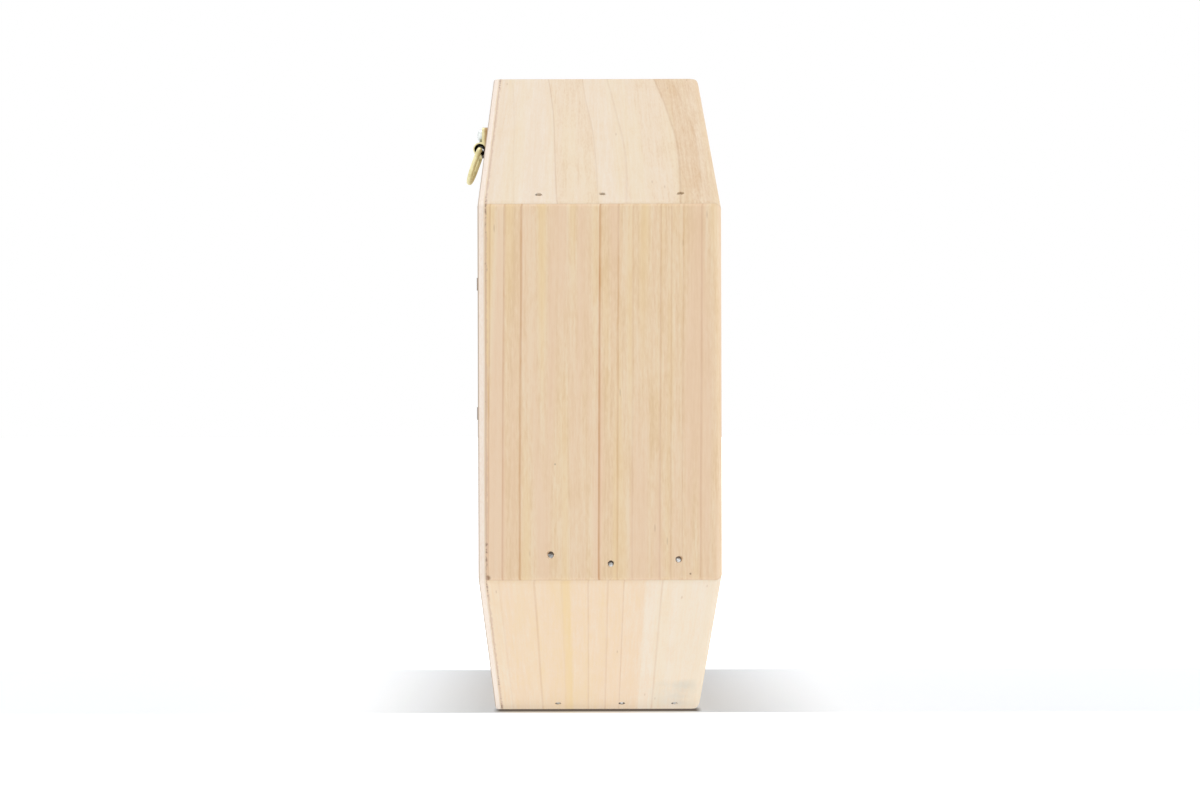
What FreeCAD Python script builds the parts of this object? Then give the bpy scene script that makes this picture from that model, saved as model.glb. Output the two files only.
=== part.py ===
# Hexagonal insect hotel that hangs on a wall, in millimetres.
# Six mitred boards, nailed at the corners, and a stapled plywood back make the case.
# Two brass ring hangers are screwed to the back, over the edges of the two upper boards.
# Three dividers make three cells, filled with bamboo canes, drilled logs and pine cones.
# +Z is up, the open front faces -Y, and the origin is the centre of the back's outer face.
import FreeCAD, Part
import math
import os

import Sketcher

Vector = FreeCAD.Vector
Rotation = FreeCAD.Rotation
Placement = FreeCAD.Placement

# Each driving size: its alias in the sheet, its value and what it measures.
SIZES = (
    ("side_length", 150.0, "outer length of one side of the hexagon"),
    ("board_thickness", 15.0, "thickness of a case board"),
    ("board_depth", 94.0, "width of a case board, front to back"),
    ("panel_thickness", 3.0, "thickness of the plywood back"),
    ("front_easing", 4.6, "sanded round on the outer front edges"),
    ("panel_easing", 2.4, "sanded round on the back's outer rim"),
    ("divider_thickness", 8.0, "thickness of a divider"),
    ("divider_setback", 5.0, "front edge of the case to a divider's front edge"),
    ("divider_fit", 0.1, "play at each pointed end of a divider"),
    ("nail_length", 32.0, "nail, head included"),
    ("nail_shank", 1.6, "diameter of a nail's shank"),
    ("nail_head", 2.8, "diameter of a nail's head"),
    ("nail_head_height", 0.8, "height of a nail's head"),
    ("nail_sink", 1.1, "board surface to the sunken head, along the nail"),
    ("nail_rim", 0.25, "play around a sunken head"),
    ("nail_from_back", 25.0, "rear nail of a corner to the boards' rear edge"),
    ("nail_from_front", 15.0, "front nail of a corner to the boards' front edge"),
    ("nail_from_corner", 9.8, "nail to the outer corner, along the board"),
    ("staple_crown", 5.0, "length of a staple's crown"),
    ("staple_wire", 1.2, "width and thickness of a staple's wire"),
    ("staple_leg", 14.0, "staple, crown included, along its legs"),
    ("staple_proud", 0.6, "height of a crown above the back"),
    ("staple_far", 43.3, "middle of a board to its far staple"),
    ("staple_near", 8.5, "middle of a board to its near staple"),
    ("hanger_spacing", 93.0, "distance between the two hangers"),
    ("strap_sheet", 1.3, "thickness of a hanger's folded sheet"),
    ("strap_width", 9.0, "width of a hanger's strap"),
    ("strap_lift", 0.6, "back to the underside of the strap's fold"),
    ("strap_bend", 3.2, "middle of the strap's fold to where the strap lies flat"),
    ("strap_fold", 75.0, "degrees from level at which the fold leaves its round"),
    ("strap_reach", 6.4, "middle of the strap's fold to the screw"),
    ("strap_tail", 3.6, "screw to the top end of the strap"),
    ("strap_corner", 2.5, "round on the strap's top corners"),
    ("ring_wire", 2.3, "diameter of the ring's wire"),
    ("ring_width", 15.0, "ring, across the middle of its wire"),
    ("ring_reach", 14.6, "ring's axis to the middle of the wire at its far end"),
    ("ring_corner", 2.4, "bend radius at the ring's corners"),
    ("ring_split", 0.4, "gap between the wire's ends, inside the strap"),
    ("ring_play", 0.5, "room round the ring's bar in the strap's fold"),
    ("ring_drop", 0.35, "middle of the strap's fold down to the hanging ring's bar"),
    ("ring_lean", 20.0, "degrees that the ring stands out from the back"),
    ("screw_head", 6.1, "diameter of a screw's head"),
    ("screw_head_height", 2.3, "height of a screw's domed head"),
    ("screw_rim", 1.2, "height of the head's straight side"),
    ("screw_shank", 3.0, "diameter of a screw's shank"),
    ("screw_length", 16.0, "screw below its head"),
    ("screw_play", 0.2, "clearance of a screw in the strap"),
    ("screw_recess", 2.8, "length of the cross in a screw's head"),
    ("screw_recess_width", 0.8, "width of the cross"),
    ("screw_recess_depth", 1.2, "depth of the cross"),
    ("cane_gap", 0.35, "play between neighbouring canes"),
    ("cane_wall", 2.85, "wall of a cane"),
    ("cane_setback", 6.0, "front edge of the case to the foremost cane"),
    ("cane_stagger", 2.5, "most that a cane stands behind the foremost one"),
    ("cane_floor", 12.0, "closed length behind a cane's bore"),
    ("log_gap", 0.4, "play between neighbouring logs"),
    ("log_setback", 7.0, "front edge of the case to the logs"),
    ("log_bore", 5.4, "diameter of a nest hole in a log"),
    ("log_bore_depth", 62.0, "depth of a nest hole in a log"),
    ("log_bore_circle", 12.0, "middle of a log to its outer nest holes"),
    ("cone_gap", 0.4, "play between neighbouring pine cones"),
    ("cone_length", 76.0, "length of the longest pine cone"),
    ("cone_difference", 4.0, "step between the three cone lengths"),
    ("cone_tip", 3.0, "radius at a cone's tip"),
    ("cone_notch", 3.2, "depth of the step between two rows of scales"),
    ("cone_stalk", 9.0, "radius of a cone's flat base"),
)

# Boards in order, anticlockwise seen from the front, from the one on the right.
BOARDS = ("right", "top_right", "top_left", "left", "bottom_left", "bottom_right")
HANGER_BOARDS = {"top_right": "right", "top_left": "left"}

# How far each nail strays from its mark: towards the front, and away from the corner.
# One row per corner, and opposite corners repeat.
NAIL_STRAY = (
    ((0.9, 0.8), (2.6, -2.7), (-2.5, -1.2)),
    ((1.9, -0.5), (9.7, -0.4), (2.4, -0.6)),
    ((-3.9, -1.8), (-0.3, -1.0), (-1.0, -0.6)),
)

CANE_ROWS = 11
LOG_ROWS = 3
LOG_HOLES = (6, 5, 4)
CONE_SCALE_ROWS = 8
GOLDEN = (math.sqrt(5.0) - 1.0) / 2.0

# Expressions that several pieces share.
APOTHEM = "(sizes.side_length * cos(30 deg))"
INNER_APOTHEM = f"({APOTHEM} - sizes.board_thickness)"
INNER_CORNER = f"({INNER_APOTHEM} / cos(30 deg))"
CELL_HEIGHT = f"({INNER_APOTHEM} - sizes.divider_thickness / 2)"
BARREL = "(sizes.ring_wire / 2 + sizes.ring_play + sizes.strap_sheet)"
RING_AXIS = f"(sizes.strap_lift + {BARREL})"
SCREW_HEIGHT = (
    "(sizes.side_length - sizes.board_thickness / 2 / cos(30 deg)"
    " - sizes.hanger_spacing / 2 * tan(30 deg))"
)
FOLD_HEIGHT = f"({SCREW_HEIGHT} - sizes.strap_reach)"
RING_HEIGHT = f"({FOLD_HEIGHT} - sizes.ring_drop)"

doc = FreeCAD.newDocument("insect_hotel")
sheet = doc.addObject("Spreadsheet::Sheet", "sizes")
subparts = []


def fill_sheet():
    """Write the driving sizes into the sheet, one row each."""
    for row, (alias, number, meaning) in enumerate(SIZES, start=1):
        sheet.set(f"A{row}", meaning)
        sheet.set(f"B{row}", str(number))
        sheet.setAlias(f"B{row}", alias)
    doc.recompute()


def measure(expression):
    """The number that an expression of the sheet stands for."""
    result = sheet.evalExpression(expression)
    return float(getattr(result, "Value", result))


def turn(degrees):
    """A turn about the front-to-back axis, anticlockwise seen from the front."""
    return Rotation(Vector(0, -1, 0), degrees)


def keep(item, label):
    """Name a finished sub-part and list it for writing."""
    item.Label = label
    subparts.append(item)
    return item


# Sketches and features

def new_sketch(body, name, plane, offset="0"):
    """An empty sketch on one of the body's own planes, moved along the plane's normal."""
    sketch = body.newObject("Sketcher::SketchObject", name)
    support = [item for item in body.Origin.OriginFeatures if item.Role == plane]
    sketch.AttachmentSupport = (support[0], "")
    sketch.MapMode = "FlatFace"
    if offset != "0":
        sketch.setExpression("AttachmentOffset.Base.z", offset)
    return sketch


def place_of(corner):
    """A corner's two expressions as a point."""
    return Vector(measure(corner[0]), measure(corner[1]), 0)


def bind(sketch, constraint, expression):
    """Add a measured constraint and tie it to its expression."""
    number = sketch.addConstraint(constraint)
    sketch.setExpression(f"Constraints[{number}]", expression)


def pin(sketch, edge, point, across=None, up=None):
    """Hold a point of an edge at its two expressions, or at the one that is given."""
    for kind, axis, expression in (("DistanceX", -2, across), ("DistanceY", -1, up)):
        if expression == "0":
            sketch.addConstraint(Sketcher.Constraint("PointOnObject", edge, point, axis))
        elif expression is not None:
            distance = Sketcher.Constraint(kind, -1, 1, edge, point, measure(expression))
            bind(sketch, distance, expression)


def join(sketch, first, second):
    """Make two edge ends coincide, each given as its edge and its point."""
    sketch.addConstraint(Sketcher.Constraint("Coincident", *first, *second))


def add_line(sketch, start, end):
    """A straight edge between two corners."""
    return sketch.addGeometry(Part.LineSegment(place_of(start), place_of(end)), False)


def add_arc(sketch, centre, radius, start, end):
    """A round edge, anticlockwise between two angles in degrees."""
    circle = Part.Circle(place_of(centre), Vector(0, 0, 1), measure(radius))
    return sketch.addGeometry(
        Part.ArcOfCircle(circle, math.radians(start), math.radians(end)), False
    )


def add_circle(sketch, centre, radius):
    """A full circle held at its centre and radius."""
    circle = Part.Circle(place_of(centre), Vector(0, 0, 1), measure(radius))
    edge = sketch.addGeometry(circle, False)
    pin(sketch, edge, 3, *centre)
    bind(sketch, Sketcher.Constraint("Radius", edge, measure(radius)), radius)


def polygon(body, name, plane, corners, offset="0"):
    """A closed outline through corners, each held at its two expressions."""
    sketch = new_sketch(body, name, plane, offset)
    count = len(corners)
    for index, corner in enumerate(corners):
        add_line(sketch, corner, corners[(index + 1) % count])
    for index, corner in enumerate(corners):
        join(sketch, (index, 2), ((index + 1) % count, 1))
        pin(sketch, index, 1, *corner)
    return sketch


def pad(body, name, sketch, length, symmetric=False):
    """Raise a sketch along its normal."""
    feature = body.newObject("PartDesign::Pad", name)
    feature.Profile = sketch
    feature.setExpression("Length", length)
    if symmetric:
        feature.SideType = "Symmetric"
    doc.recompute()
    return feature


def pocket(body, name, sketch, length, along_normal=False):
    """Sink a sketch into the body, and check that it takes material away."""
    before = body.Shape.Volume
    feature = body.newObject("PartDesign::Pocket", name)
    feature.Profile = sketch
    feature.setExpression("Length", length)
    feature.Reversed = along_normal
    doc.recompute()
    if not body.Shape.Volume < before:
        raise RuntimeError(f"{body.Name}: {name} cuts nothing")
    return feature


def revolve(body, name, sketch):
    """Turn a sketch about its own vertical axis."""
    feature = body.newObject("PartDesign::Revolution", name)
    feature.Profile = sketch
    feature.ReferenceAxis = (sketch, ["V_Axis"])
    feature.Angle = 360.0
    doc.recompute()
    return feature


def ease(body, name, base, radius, wanted):
    """Round the base's edges whose middle passes the test."""
    edges = []
    for number, edge in enumerate(base.Shape.Edges, start=1):
        if wanted(edge.CenterOfMass):
            edges.append(f"Edge{number}")
    feature = body.newObject("PartDesign::Fillet", name)
    feature.Base = (base, edges)
    feature.setExpression("Radius", radius)
    doc.recompute()
    return feature


def near(first, second):
    """Whether two lengths are the same for picking an edge."""
    return abs(first - second) < 1e-4


def new_body(name):
    """An empty body."""
    return doc.addObject("PartDesign::Body", name)


def stand(body, rotation, across="0", outward="0", up="0"):
    """Turn a body, then move it to three expressions."""
    body.Placement = Placement(Vector(), rotation)
    for axis, expression in (("x", across), ("y", outward), ("z", up)):
        if expression != "0":
            body.setExpression(f"Placement.Base.{axis}", expression)


def copies(name, shape, places):
    """One object that holds the same solid at several places."""
    group = doc.addObject("Part::Feature", name)
    solids = []
    for place in places:
        solid = shape.copy()
        solid.Placement = place
        solids.append(solid)
    group.Shape = Part.makeCompound(solids)
    return group


# Fasteners of the case

def nail_body(name, head_radius, rise):
    """A nail with its point down, its head's top at z = rise."""
    shank = "sizes.nail_shank / 2"
    under_head = "-sizes.nail_head_height"
    body = new_body(name)
    outline = polygon(body, f"{name}_outline", "XZ_Plane", (
        ("0", rise),
        (head_radius, rise),
        (head_radius, under_head),
        (shank, under_head),
        (shank, "sizes.nail_shank - sizes.nail_length"),
        ("0", "-sizes.nail_length"),
    ))
    revolve(body, f"{name}_turned", outline)
    return body


def nail_places(corner):
    """Where the three nails stand at the leading end of one board."""
    marks = (
        measure("sizes.nail_from_back"),
        measure("sizes.board_depth / 2"),
        measure("sizes.board_depth - sizes.nail_from_front"),
    )
    into = Vector(-math.cos(math.radians(30)), 0, math.sin(math.radians(30)))
    places = []
    for mark, (forward, away) in zip(marks, NAIL_STRAY[corner % len(NAIL_STRAY)]):
        surface = Vector(
            measure(APOTHEM),
            -measure("sizes.panel_thickness") - mark - forward,
            measure("sizes.side_length / 2 - sizes.nail_from_corner") - away,
        )
        head = surface + into * measure("sizes.nail_sink")
        driven = Placement(head, Rotation(Vector(0, 0, -1), into))
        places.append(Placement(Vector(), turn(60 * corner)).multiply(driven))
    return places


def staple_body():
    """A staple with its legs towards the front and its crown upright."""
    body = new_body("staple")
    top = "sizes.staple_proud"
    crown = "sizes.staple_proud - sizes.staple_wire"
    point = "sizes.staple_proud - sizes.staple_leg"
    outer = "sizes.staple_crown / 2"
    inner = "(sizes.staple_crown / 2 - sizes.staple_wire)"
    outline = polygon(body, "staple_outline", "YZ_Plane", (
        (top, outer),
        (top, f"-{outer}"),
        (point, f"-{outer}"),
        (point, f"-{inner}"),
        (crown, f"-{inner}"),
        (crown, inner),
        (point, inner),
        (point, outer),
    ))
    pad(body, "staple_bent", outline, "sizes.staple_wire", symmetric=True)
    return body


def staple_places(board):
    """Where the two staples stand on one board's rear edge, clear of the hangers."""
    number = BOARDS.index(board)
    side = 1 if "right" in board else -1
    middle = measure(f"{APOTHEM} - sizes.board_thickness / 2")
    marks = (measure("sizes.staple_far"), -measure("sizes.staple_near"))
    return [
        Placement(Vector(), turn(60 * number)).multiply(
            Placement(Vector(middle, 0, side * mark), Rotation())
        )
        for mark in marks
    ]


# Hangers

def hanger_screw(side, across):
    """A domed screw with a cross recess, through the strap and into a board's edge."""
    body = new_body(f"hanger_screw_{side}")
    shank = "sizes.screw_shank / 2"
    head = "sizes.screw_head / 2"
    height = "sizes.screw_head_height"
    rim = "sizes.screw_rim"
    dome_height = f"({height} - {rim})"
    sphere = f"(({head})^2 + {dome_height}^2) / (2 * {dome_height})"
    centre = ("0", f"({height} - {sphere})")
    start = math.degrees(math.atan2(measure(rim) - measure(centre[1]), measure(head)))
    corners = (
        ("0", height),
        ("0", "-sizes.screw_length"),
        (shank, "sizes.screw_shank - sizes.screw_length"),
        (shank, "0"),
        (head, "0"),
        (head, rim),
    )
    outline = new_sketch(body, f"screw_outline_{side}", "XY_Plane")
    for first, second in zip(corners, corners[1:]):
        add_line(outline, first, second)
    dome = add_arc(outline, centre, sphere, start, 90)
    for index in range(1, len(corners) - 1):
        join(outline, (index - 1, 2), (index, 1))
        pin(outline, index, 1, *corners[index])
    join(outline, (len(corners) - 2, 2), (dome, 1))
    pin(outline, dome, 1, *corners[-1])
    join(outline, (dome, 2), (0, 1))
    pin(outline, dome, 2, *corners[0])
    pin(outline, dome, 3, "0")
    revolve(body, f"screw_turned_{side}", outline)

    arm = "sizes.screw_recess / 2"
    half = "sizes.screw_recess_width / 2"
    quarter = ((arm, half), (half, half), (half, arm))
    cross = list(quarter)
    cross += [(f"-{x}", y) for x, y in reversed(quarter)]
    cross += [(f"-{x}", f"-{y}") for x, y in quarter]
    cross += [(x, f"-{y}") for x, y in reversed(quarter)]
    recess = polygon(body, f"screw_cross_{side}", "XZ_Plane", cross, f"-{height}")
    pocket(body, f"screw_recess_{side}", recess, "sizes.screw_recess_depth", True)
    stand(body, Rotation(), across, "2 * sizes.strap_sheet", SCREW_HEIGHT)
    return keep(body, f"hanger_screw_{side}")


def hanger_strap(side, across):
    """A sheet strap folded double round the ring's bar, with a hole for the screw."""
    body = new_body(f"hanger_strap_{side}")
    double = "2 * sizes.strap_sheet"
    top = "(sizes.strap_reach + sizes.strap_tail)"
    angle = "sizes.strap_fold * 1 deg"
    leave = (f"{RING_AXIS} + {BARREL} * cos({angle})", f"{BARREL} * sin({angle})")
    neck = (double, f"{leave[1]} + ({leave[0]} - {double}) / tan({angle})")
    corners = ((double, top), ("0", top), ("0", "sizes.strap_bend"), ("sizes.strap_lift", "0"))
    outline = new_sketch(body, f"strap_outline_{side}", "YZ_Plane")
    tip = add_line(outline, corners[0], corners[1])
    rear = add_line(outline, corners[1], corners[2])
    rise = add_line(outline, corners[2], corners[3])
    fold = add_arc(outline, (RING_AXIS, "0"), BARREL, 180, 360 + measure("sizes.strap_fold"))
    slope = add_line(outline, leave, neck)
    face = add_line(outline, neck, corners[0])
    join(outline, (tip, 2), (rear, 1))
    join(outline, (rear, 2), (rise, 1))
    join(outline, (rise, 2), (fold, 1))
    join(outline, (fold, 2), (slope, 1))
    join(outline, (slope, 2), (face, 1))
    join(outline, (face, 2), (tip, 1))
    pin(outline, tip, 1, *corners[0])
    pin(outline, rear, 1, *corners[1])
    pin(outline, rise, 1, *corners[2])
    pin(outline, rise, 2, *corners[3])
    pin(outline, fold, 3, RING_AXIS, "0")
    pin(outline, slope, 1, leave[0])
    pin(outline, face, 1, *neck)
    add_circle(outline, (RING_AXIS, "0"), "sizes.ring_wire / 2 + sizes.ring_play")
    folded = pad(body, f"strap_folded_{side}", outline, "sizes.strap_width", symmetric=True)
    height = measure(top)
    half = measure("sizes.strap_width / 2")
    ease(body, f"strap_corners_{side}", folded, "sizes.strap_corner",
         lambda middle: near(middle.z, height) and near(abs(middle.x), half))
    hole = new_sketch(body, f"strap_hole_{side}", "XZ_Plane")
    add_circle(hole, ("0", "sizes.strap_reach"), "sizes.screw_shank / 2 + sizes.screw_play")
    pocket(body, f"strap_drilled_{side}", hole, f"{double} + sizes.strap_sheet")
    stand(body, Rotation(), across, "0", FOLD_HEIGHT)
    return keep(body, f"hanger_strap_{side}")


def hanger_ring(side, across):
    """A D-shaped ring of bent wire, hung on its straight bar and leaning outward."""
    body = new_body(f"hanger_ring_{side}")
    half = "sizes.ring_width / 2"
    bend = "sizes.ring_corner"
    bar = f"({half} - {bend})"
    split = "sizes.ring_split / 2"
    low = f"({half} - sizes.ring_reach)"
    path = new_sketch(body, f"ring_path_{side}", "XZ_Plane")
    first = add_line(path, (split, "0"), (bar, "0"))
    right_bend = add_arc(path, (bar, f"-{bend}"), bend, 0, 90)
    right_leg = add_line(path, (half, f"-{bend}"), (half, low))
    bow = add_arc(path, ("0", low), half, 180, 360)
    left_leg = add_line(path, (f"-{half}", low), (f"-{half}", f"-{bend}"))
    left_bend = add_arc(path, (f"-{bar}", f"-{bend}"), bend, 90, 180)
    last = add_line(path, (f"-{bar}", "0"), (f"-{split}", "0"))
    join(path, (first, 2), (right_bend, 2))
    join(path, (right_bend, 1), (right_leg, 1))
    join(path, (right_leg, 2), (bow, 2))
    join(path, (bow, 1), (left_leg, 1))
    join(path, (left_leg, 2), (left_bend, 2))
    join(path, (left_bend, 1), (last, 1))
    pin(path, first, 1, split, "0")
    pin(path, first, 2, bar, "0")
    pin(path, right_bend, 3, bar, f"-{bend}")
    pin(path, right_leg, 1, up=f"-{bend}")
    pin(path, right_leg, 2, half, low)
    pin(path, bow, 3, "0", low)
    pin(path, left_leg, 1, up=low)
    pin(path, left_leg, 2, f"-{half}", f"-{bend}")
    pin(path, left_bend, 3, f"-{bar}", f"-{bend}")
    pin(path, last, 1, f"-{bar}")
    pin(path, last, 2, f"-{split}", "0")
    wire = new_sketch(body, f"ring_wire_{side}", "YZ_Plane", split)
    add_circle(wire, ("0", "0"), "sizes.ring_wire / 2")
    doc.recompute()
    feature = body.newObject("PartDesign::AdditivePipe", f"ring_bent_{side}")
    feature.Profile = wire
    feature.Spine = (path, [f"Edge{number + 1}" for number in range(7)])
    doc.recompute()
    leaning = Rotation(Vector(1, 0, 0), measure("sizes.ring_lean"))
    stand(body, leaning, across, RING_AXIS, RING_HEIGHT)
    body.setExpression("Placement.Rotation.Angle", "sizes.ring_lean * 1 deg")
    return keep(body, f"hanger_ring_{side}")


# Case

def board_body(name):
    """A mitred board in the place of the right-hand one, with its outer front edge eased."""
    body = new_body(name)
    outline = polygon(body, f"{name}_outline", "XZ_Plane", (
        (APOTHEM, "sizes.side_length / 2"),
        (INNER_APOTHEM, f"{INNER_CORNER} / 2"),
        (INNER_APOTHEM, f"-{INNER_CORNER} / 2"),
        (APOTHEM, "-sizes.side_length / 2"),
    ), "sizes.panel_thickness")
    sawn = pad(body, f"{name}_sawn", outline, "sizes.board_depth")
    outer = measure(APOTHEM)
    front = -measure("sizes.panel_thickness + sizes.board_depth")
    ease(body, f"{name}_eased", sawn, "sizes.front_easing",
         lambda middle: near(middle.x, outer) and near(middle.y, front))
    return body


def tool_group(name, shapes):
    """The solids that one piece is bored with, as one object."""
    group = doc.addObject("Part::Feature", name)
    group.Shape = Part.makeCompound(shapes)
    return group


def bored(label, base, tools):
    """A piece with the holes of what is driven through it."""
    cut = doc.addObject("Part::Cut", label)
    cut.Base = base
    cut.Tool = tool_group(f"{label}_holes", tools)
    doc.recompute()
    return keep(cut, label)


def placed(shape, place):
    """A copy of a solid at a place."""
    solid = shape.copy()
    solid.Placement = place
    return solid


def build_case(screws):
    """The six boards, the back, and the nails and staples that hold them."""
    nail = nail_body("nail", "sizes.nail_head / 2", "0")
    bore = nail_body("nail_bore", "(sizes.nail_head / 2 + sizes.nail_rim)", "2 * sizes.nail_head")
    staple = staple_body()
    nails = [nail_places(corner) for corner in range(len(BOARDS))]
    staples = {board: staple_places(board) for board in BOARDS}

    for number, board in enumerate(BOARDS):
        body = board_body(f"board_{board}")
        stand(body, turn(60 * number))
        tools = [placed(bore.Shape, place) for place in nails[number] + nails[number - 1]]
        tools += [placed(staple.Shape, place) for place in staples[board]]
        if board in HANGER_BOARDS:
            tools.append(screws[HANGER_BOARDS[board]].Shape.copy())
        bored(f"frame_board_{board}", body, tools)

    every_staple = [place for board in BOARDS for place in staples[board]]
    panel = new_body("panel")
    corner = "sizes.side_length"
    outline = polygon(panel, "panel_outline", "XZ_Plane", (
        ("0", corner),
        (f"-{APOTHEM}", f"{corner} / 2"),
        (f"-{APOTHEM}", f"-{corner} / 2"),
        ("0", f"-{corner}"),
        (APOTHEM, f"-{corner} / 2"),
        (APOTHEM, f"{corner} / 2"),
    ))
    sawn = pad(panel, "panel_sawn", outline, "sizes.panel_thickness")
    ease(panel, "panel_eased", sawn, "sizes.panel_easing", lambda middle: near(middle.y, 0))
    tools = [placed(staple.Shape, place) for place in every_staple]
    tools += [screw.Shape.copy() for screw in screws.values()]
    bored("back_panel", panel, tools)

    every_nail = [place for corner in nails for place in corner]
    keep(copies("corner_nails", nail.Shape, every_nail), "corner_nails")
    keep(copies("back_staples", staple.Shape, every_staple), "back_staples")


def build_dividers():
    """Three boards from the middle to every other corner, pointed at both ends."""
    half = "sizes.divider_thickness / 2"
    point = f"{half} / tan(60 deg)"
    inner = "sizes.divider_fit"
    outer = f"({INNER_CORNER} - sizes.divider_fit)"
    for name, degrees in (("upper_right", 30), ("upper_left", 150), ("lower", 270)):
        body = new_body(f"divider_{name}")
        outline = polygon(body, f"divider_outline_{name}", "XZ_Plane", (
            (inner, "0"),
            (f"{inner} + {point}", half),
            (f"{outer} - {point}", half),
            (outer, "0"),
            (f"{outer} - {point}", f"-{half}"),
            (f"{inner} + {point}", f"-{half}"),
        ), "sizes.panel_thickness")
        pad(body, f"divider_sawn_{name}", outline, "sizes.board_depth - sizes.divider_setback")
        stand(body, turn(degrees))
        keep(body, f"divider_{name}")


# Fillings

def cell_pitch(rows):
    """The pitch, as an expression, at which that many rows just fill a cell."""
    return f"({CELL_HEIGHT} / (1 + {rows - 1} * sin(60 deg)))"


def cell_places(rows, degrees):
    """Middles of the round things in one cell, row by row, on a 60 degree lattice.

    The lattice is laid out in the top cell, from its left corner, and turned to its own cell.
    """
    pitch = measure(cell_pitch(rows))
    along_board = Vector(math.cos(math.radians(30)), 0, math.sin(math.radians(30)))
    along_divider = Vector(math.cos(math.radians(30)), 0, -math.sin(math.radians(30)))
    corner = Vector(-measure(APOTHEM), 0, measure("sizes.side_length / 2"))
    corner += along_board * measure("sizes.divider_thickness / 2 / sin(60 deg)")
    corner += along_divider * measure("sizes.board_thickness / sin(60 deg)")
    first = corner + (along_board + along_divider) * (pitch * math.tan(math.radians(30)))
    return [
        [
            turn(degrees).multVec(first + along_board * (pitch * i) + along_divider * (pitch * j))
            for i in range(rows)
        ]
        for j in range(rows)
    ]


def build_canes():
    """Bamboo canes, closed at the back, one node for each row of them."""
    radius = measure(f"({cell_pitch(CANE_ROWS)} - sizes.cane_gap) / 2")
    bore = radius - measure("sizes.cane_wall")
    longest = measure("sizes.board_depth - sizes.cane_setback")
    toward_front = Vector(0, -1, 0)
    rear = measure("sizes.panel_thickness")
    for j, row in enumerate(cell_places(CANE_ROWS, 120)):
        canes = []
        for i, middle in enumerate(row):
            share = (GOLDEN * (CANE_ROWS * j + i)) % 1.0
            length = longest - measure("sizes.cane_stagger") * share
            floor = measure("sizes.cane_floor")
            foot = Vector(middle.x, -rear, middle.z)
            cane = Part.makeCylinder(radius, length, foot, toward_front)
            hollow = Part.makeCylinder(bore, length, foot + toward_front * floor, toward_front)
            canes.append(cane.cut(hollow))
        group = doc.addObject("Part::Feature", f"cane_row_{j + 1:02d}")
        group.Shape = Part.makeCompound(canes)
        keep(group, f"cane_row_{j + 1:02d}")


def build_logs():
    """Short logs with nest holes drilled in their front ends."""
    places = [middle for row in cell_places(LOG_ROWS, 240) for middle in row]
    radius = f"({cell_pitch(LOG_ROWS)} - sizes.log_gap) / 2"
    length = "sizes.board_depth - sizes.log_setback"
    for number, middle in enumerate(places, start=1):
        name = f"nest_log_{number:02d}"
        body = new_body(name)
        outline = new_sketch(body, f"{name}_outline", "XZ_Plane", "sizes.panel_thickness")
        add_circle(outline, ("0", "0"), radius)
        pad(body, f"{name}_sawn", outline, length)
        holes = new_sketch(body, f"{name}_holes", "XZ_Plane", f"sizes.panel_thickness + {length}")
        add_circle(holes, ("0", "0"), "sizes.log_bore / 2")
        count = LOG_HOLES[number % len(LOG_HOLES)]
        for hole in range(count):
            degrees = 360.0 * (hole + GOLDEN * number) / count
            spot = (
                f"sizes.log_bore_circle * cos({degrees:.3f} deg)",
                f"sizes.log_bore_circle * sin({degrees:.3f} deg)",
            )
            add_circle(holes, spot, "sizes.log_bore / 2")
        pocket(body, f"{name}_drilled", holes, "sizes.log_bore_depth")
        body.Placement = Placement(Vector(middle.x, 0, middle.z), Rotation())
        keep(body, name)


def build_cones():
    """Pine cones, points to the front, with a step for each row of scales."""
    places = [middle for row in cell_places(LOG_ROWS, 0) for middle in row]
    girth = f"({cell_pitch(LOG_ROWS)} - sizes.cone_gap) / 2"
    for number, middle in enumerate(places, start=1):
        name = f"pine_cone_{number:02d}"
        length = f"(sizes.cone_length - {number % 3} * sizes.cone_difference)"
        corners = [("0", "0"), ("sizes.cone_stalk", "0")]
        for row in range(CONE_SCALE_ROWS):
            share = (row + 1.0) / CONE_SCALE_ROWS
            bulge = math.sin(math.pi * share ** GOLDEN) ** GOLDEN
            swell = f"(sizes.cone_tip + ({girth} - sizes.cone_tip) * {bulge:.4f})"
            start = (row + 0.4) / CONE_SCALE_ROWS
            corners.append((swell, f"-{length} * {start:.4f}"))
            if row < CONE_SCALE_ROWS - 1:
                corners.append((f"{swell} - sizes.cone_notch", f"-{length} * {share:.4f}"))
        corners.append(("0", f"-{length}"))
        body = new_body(name)
        outline = polygon(body, f"{name}_outline", "XY_Plane", corners)
        revolve(body, f"{name}_grown", outline)
        body.Placement = Placement(
            Vector(middle.x, -measure("sizes.panel_thickness"), middle.z), Rotation()
        )
        keep(body, name)


def check_all():
    """Stop if any object failed or any sub-part is empty or broken."""
    for item in doc.Objects:
        if "Invalid" in item.State or "Error" in item.State:
            raise RuntimeError(f"{item.Name} failed: {item.State}")
    for item in subparts:
        if item.Shape.isNull() or not item.Shape.isValid() or not item.Shape.Solids:
            raise RuntimeError(f"{item.Label} has no valid shape")


def write_all():
    """Write one file for each sub-part."""
    os.makedirs("parts", exist_ok=True)
    for item in subparts:
        item.Shape.exportStep(f"parts/{item.Label}.step")
        print(f"{item.Label}: {len(item.Shape.Solids)} solids, {item.Shape.Volume:.1f} mm3")


fill_sheet()
hanger_screws = {}
for hanger_side, hanger_across in (
    ("left", "-sizes.hanger_spacing / 2"),
    ("right", "sizes.hanger_spacing / 2"),
):
    hanger_screws[hanger_side] = hanger_screw(hanger_side, hanger_across)
    hanger_strap(hanger_side, hanger_across)
    hanger_ring(hanger_side, hanger_across)
doc.recompute()
build_case(hanger_screws)
build_dividers()
build_canes()
build_logs()
build_cones()
doc.recompute()
check_all()
write_all()
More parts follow.
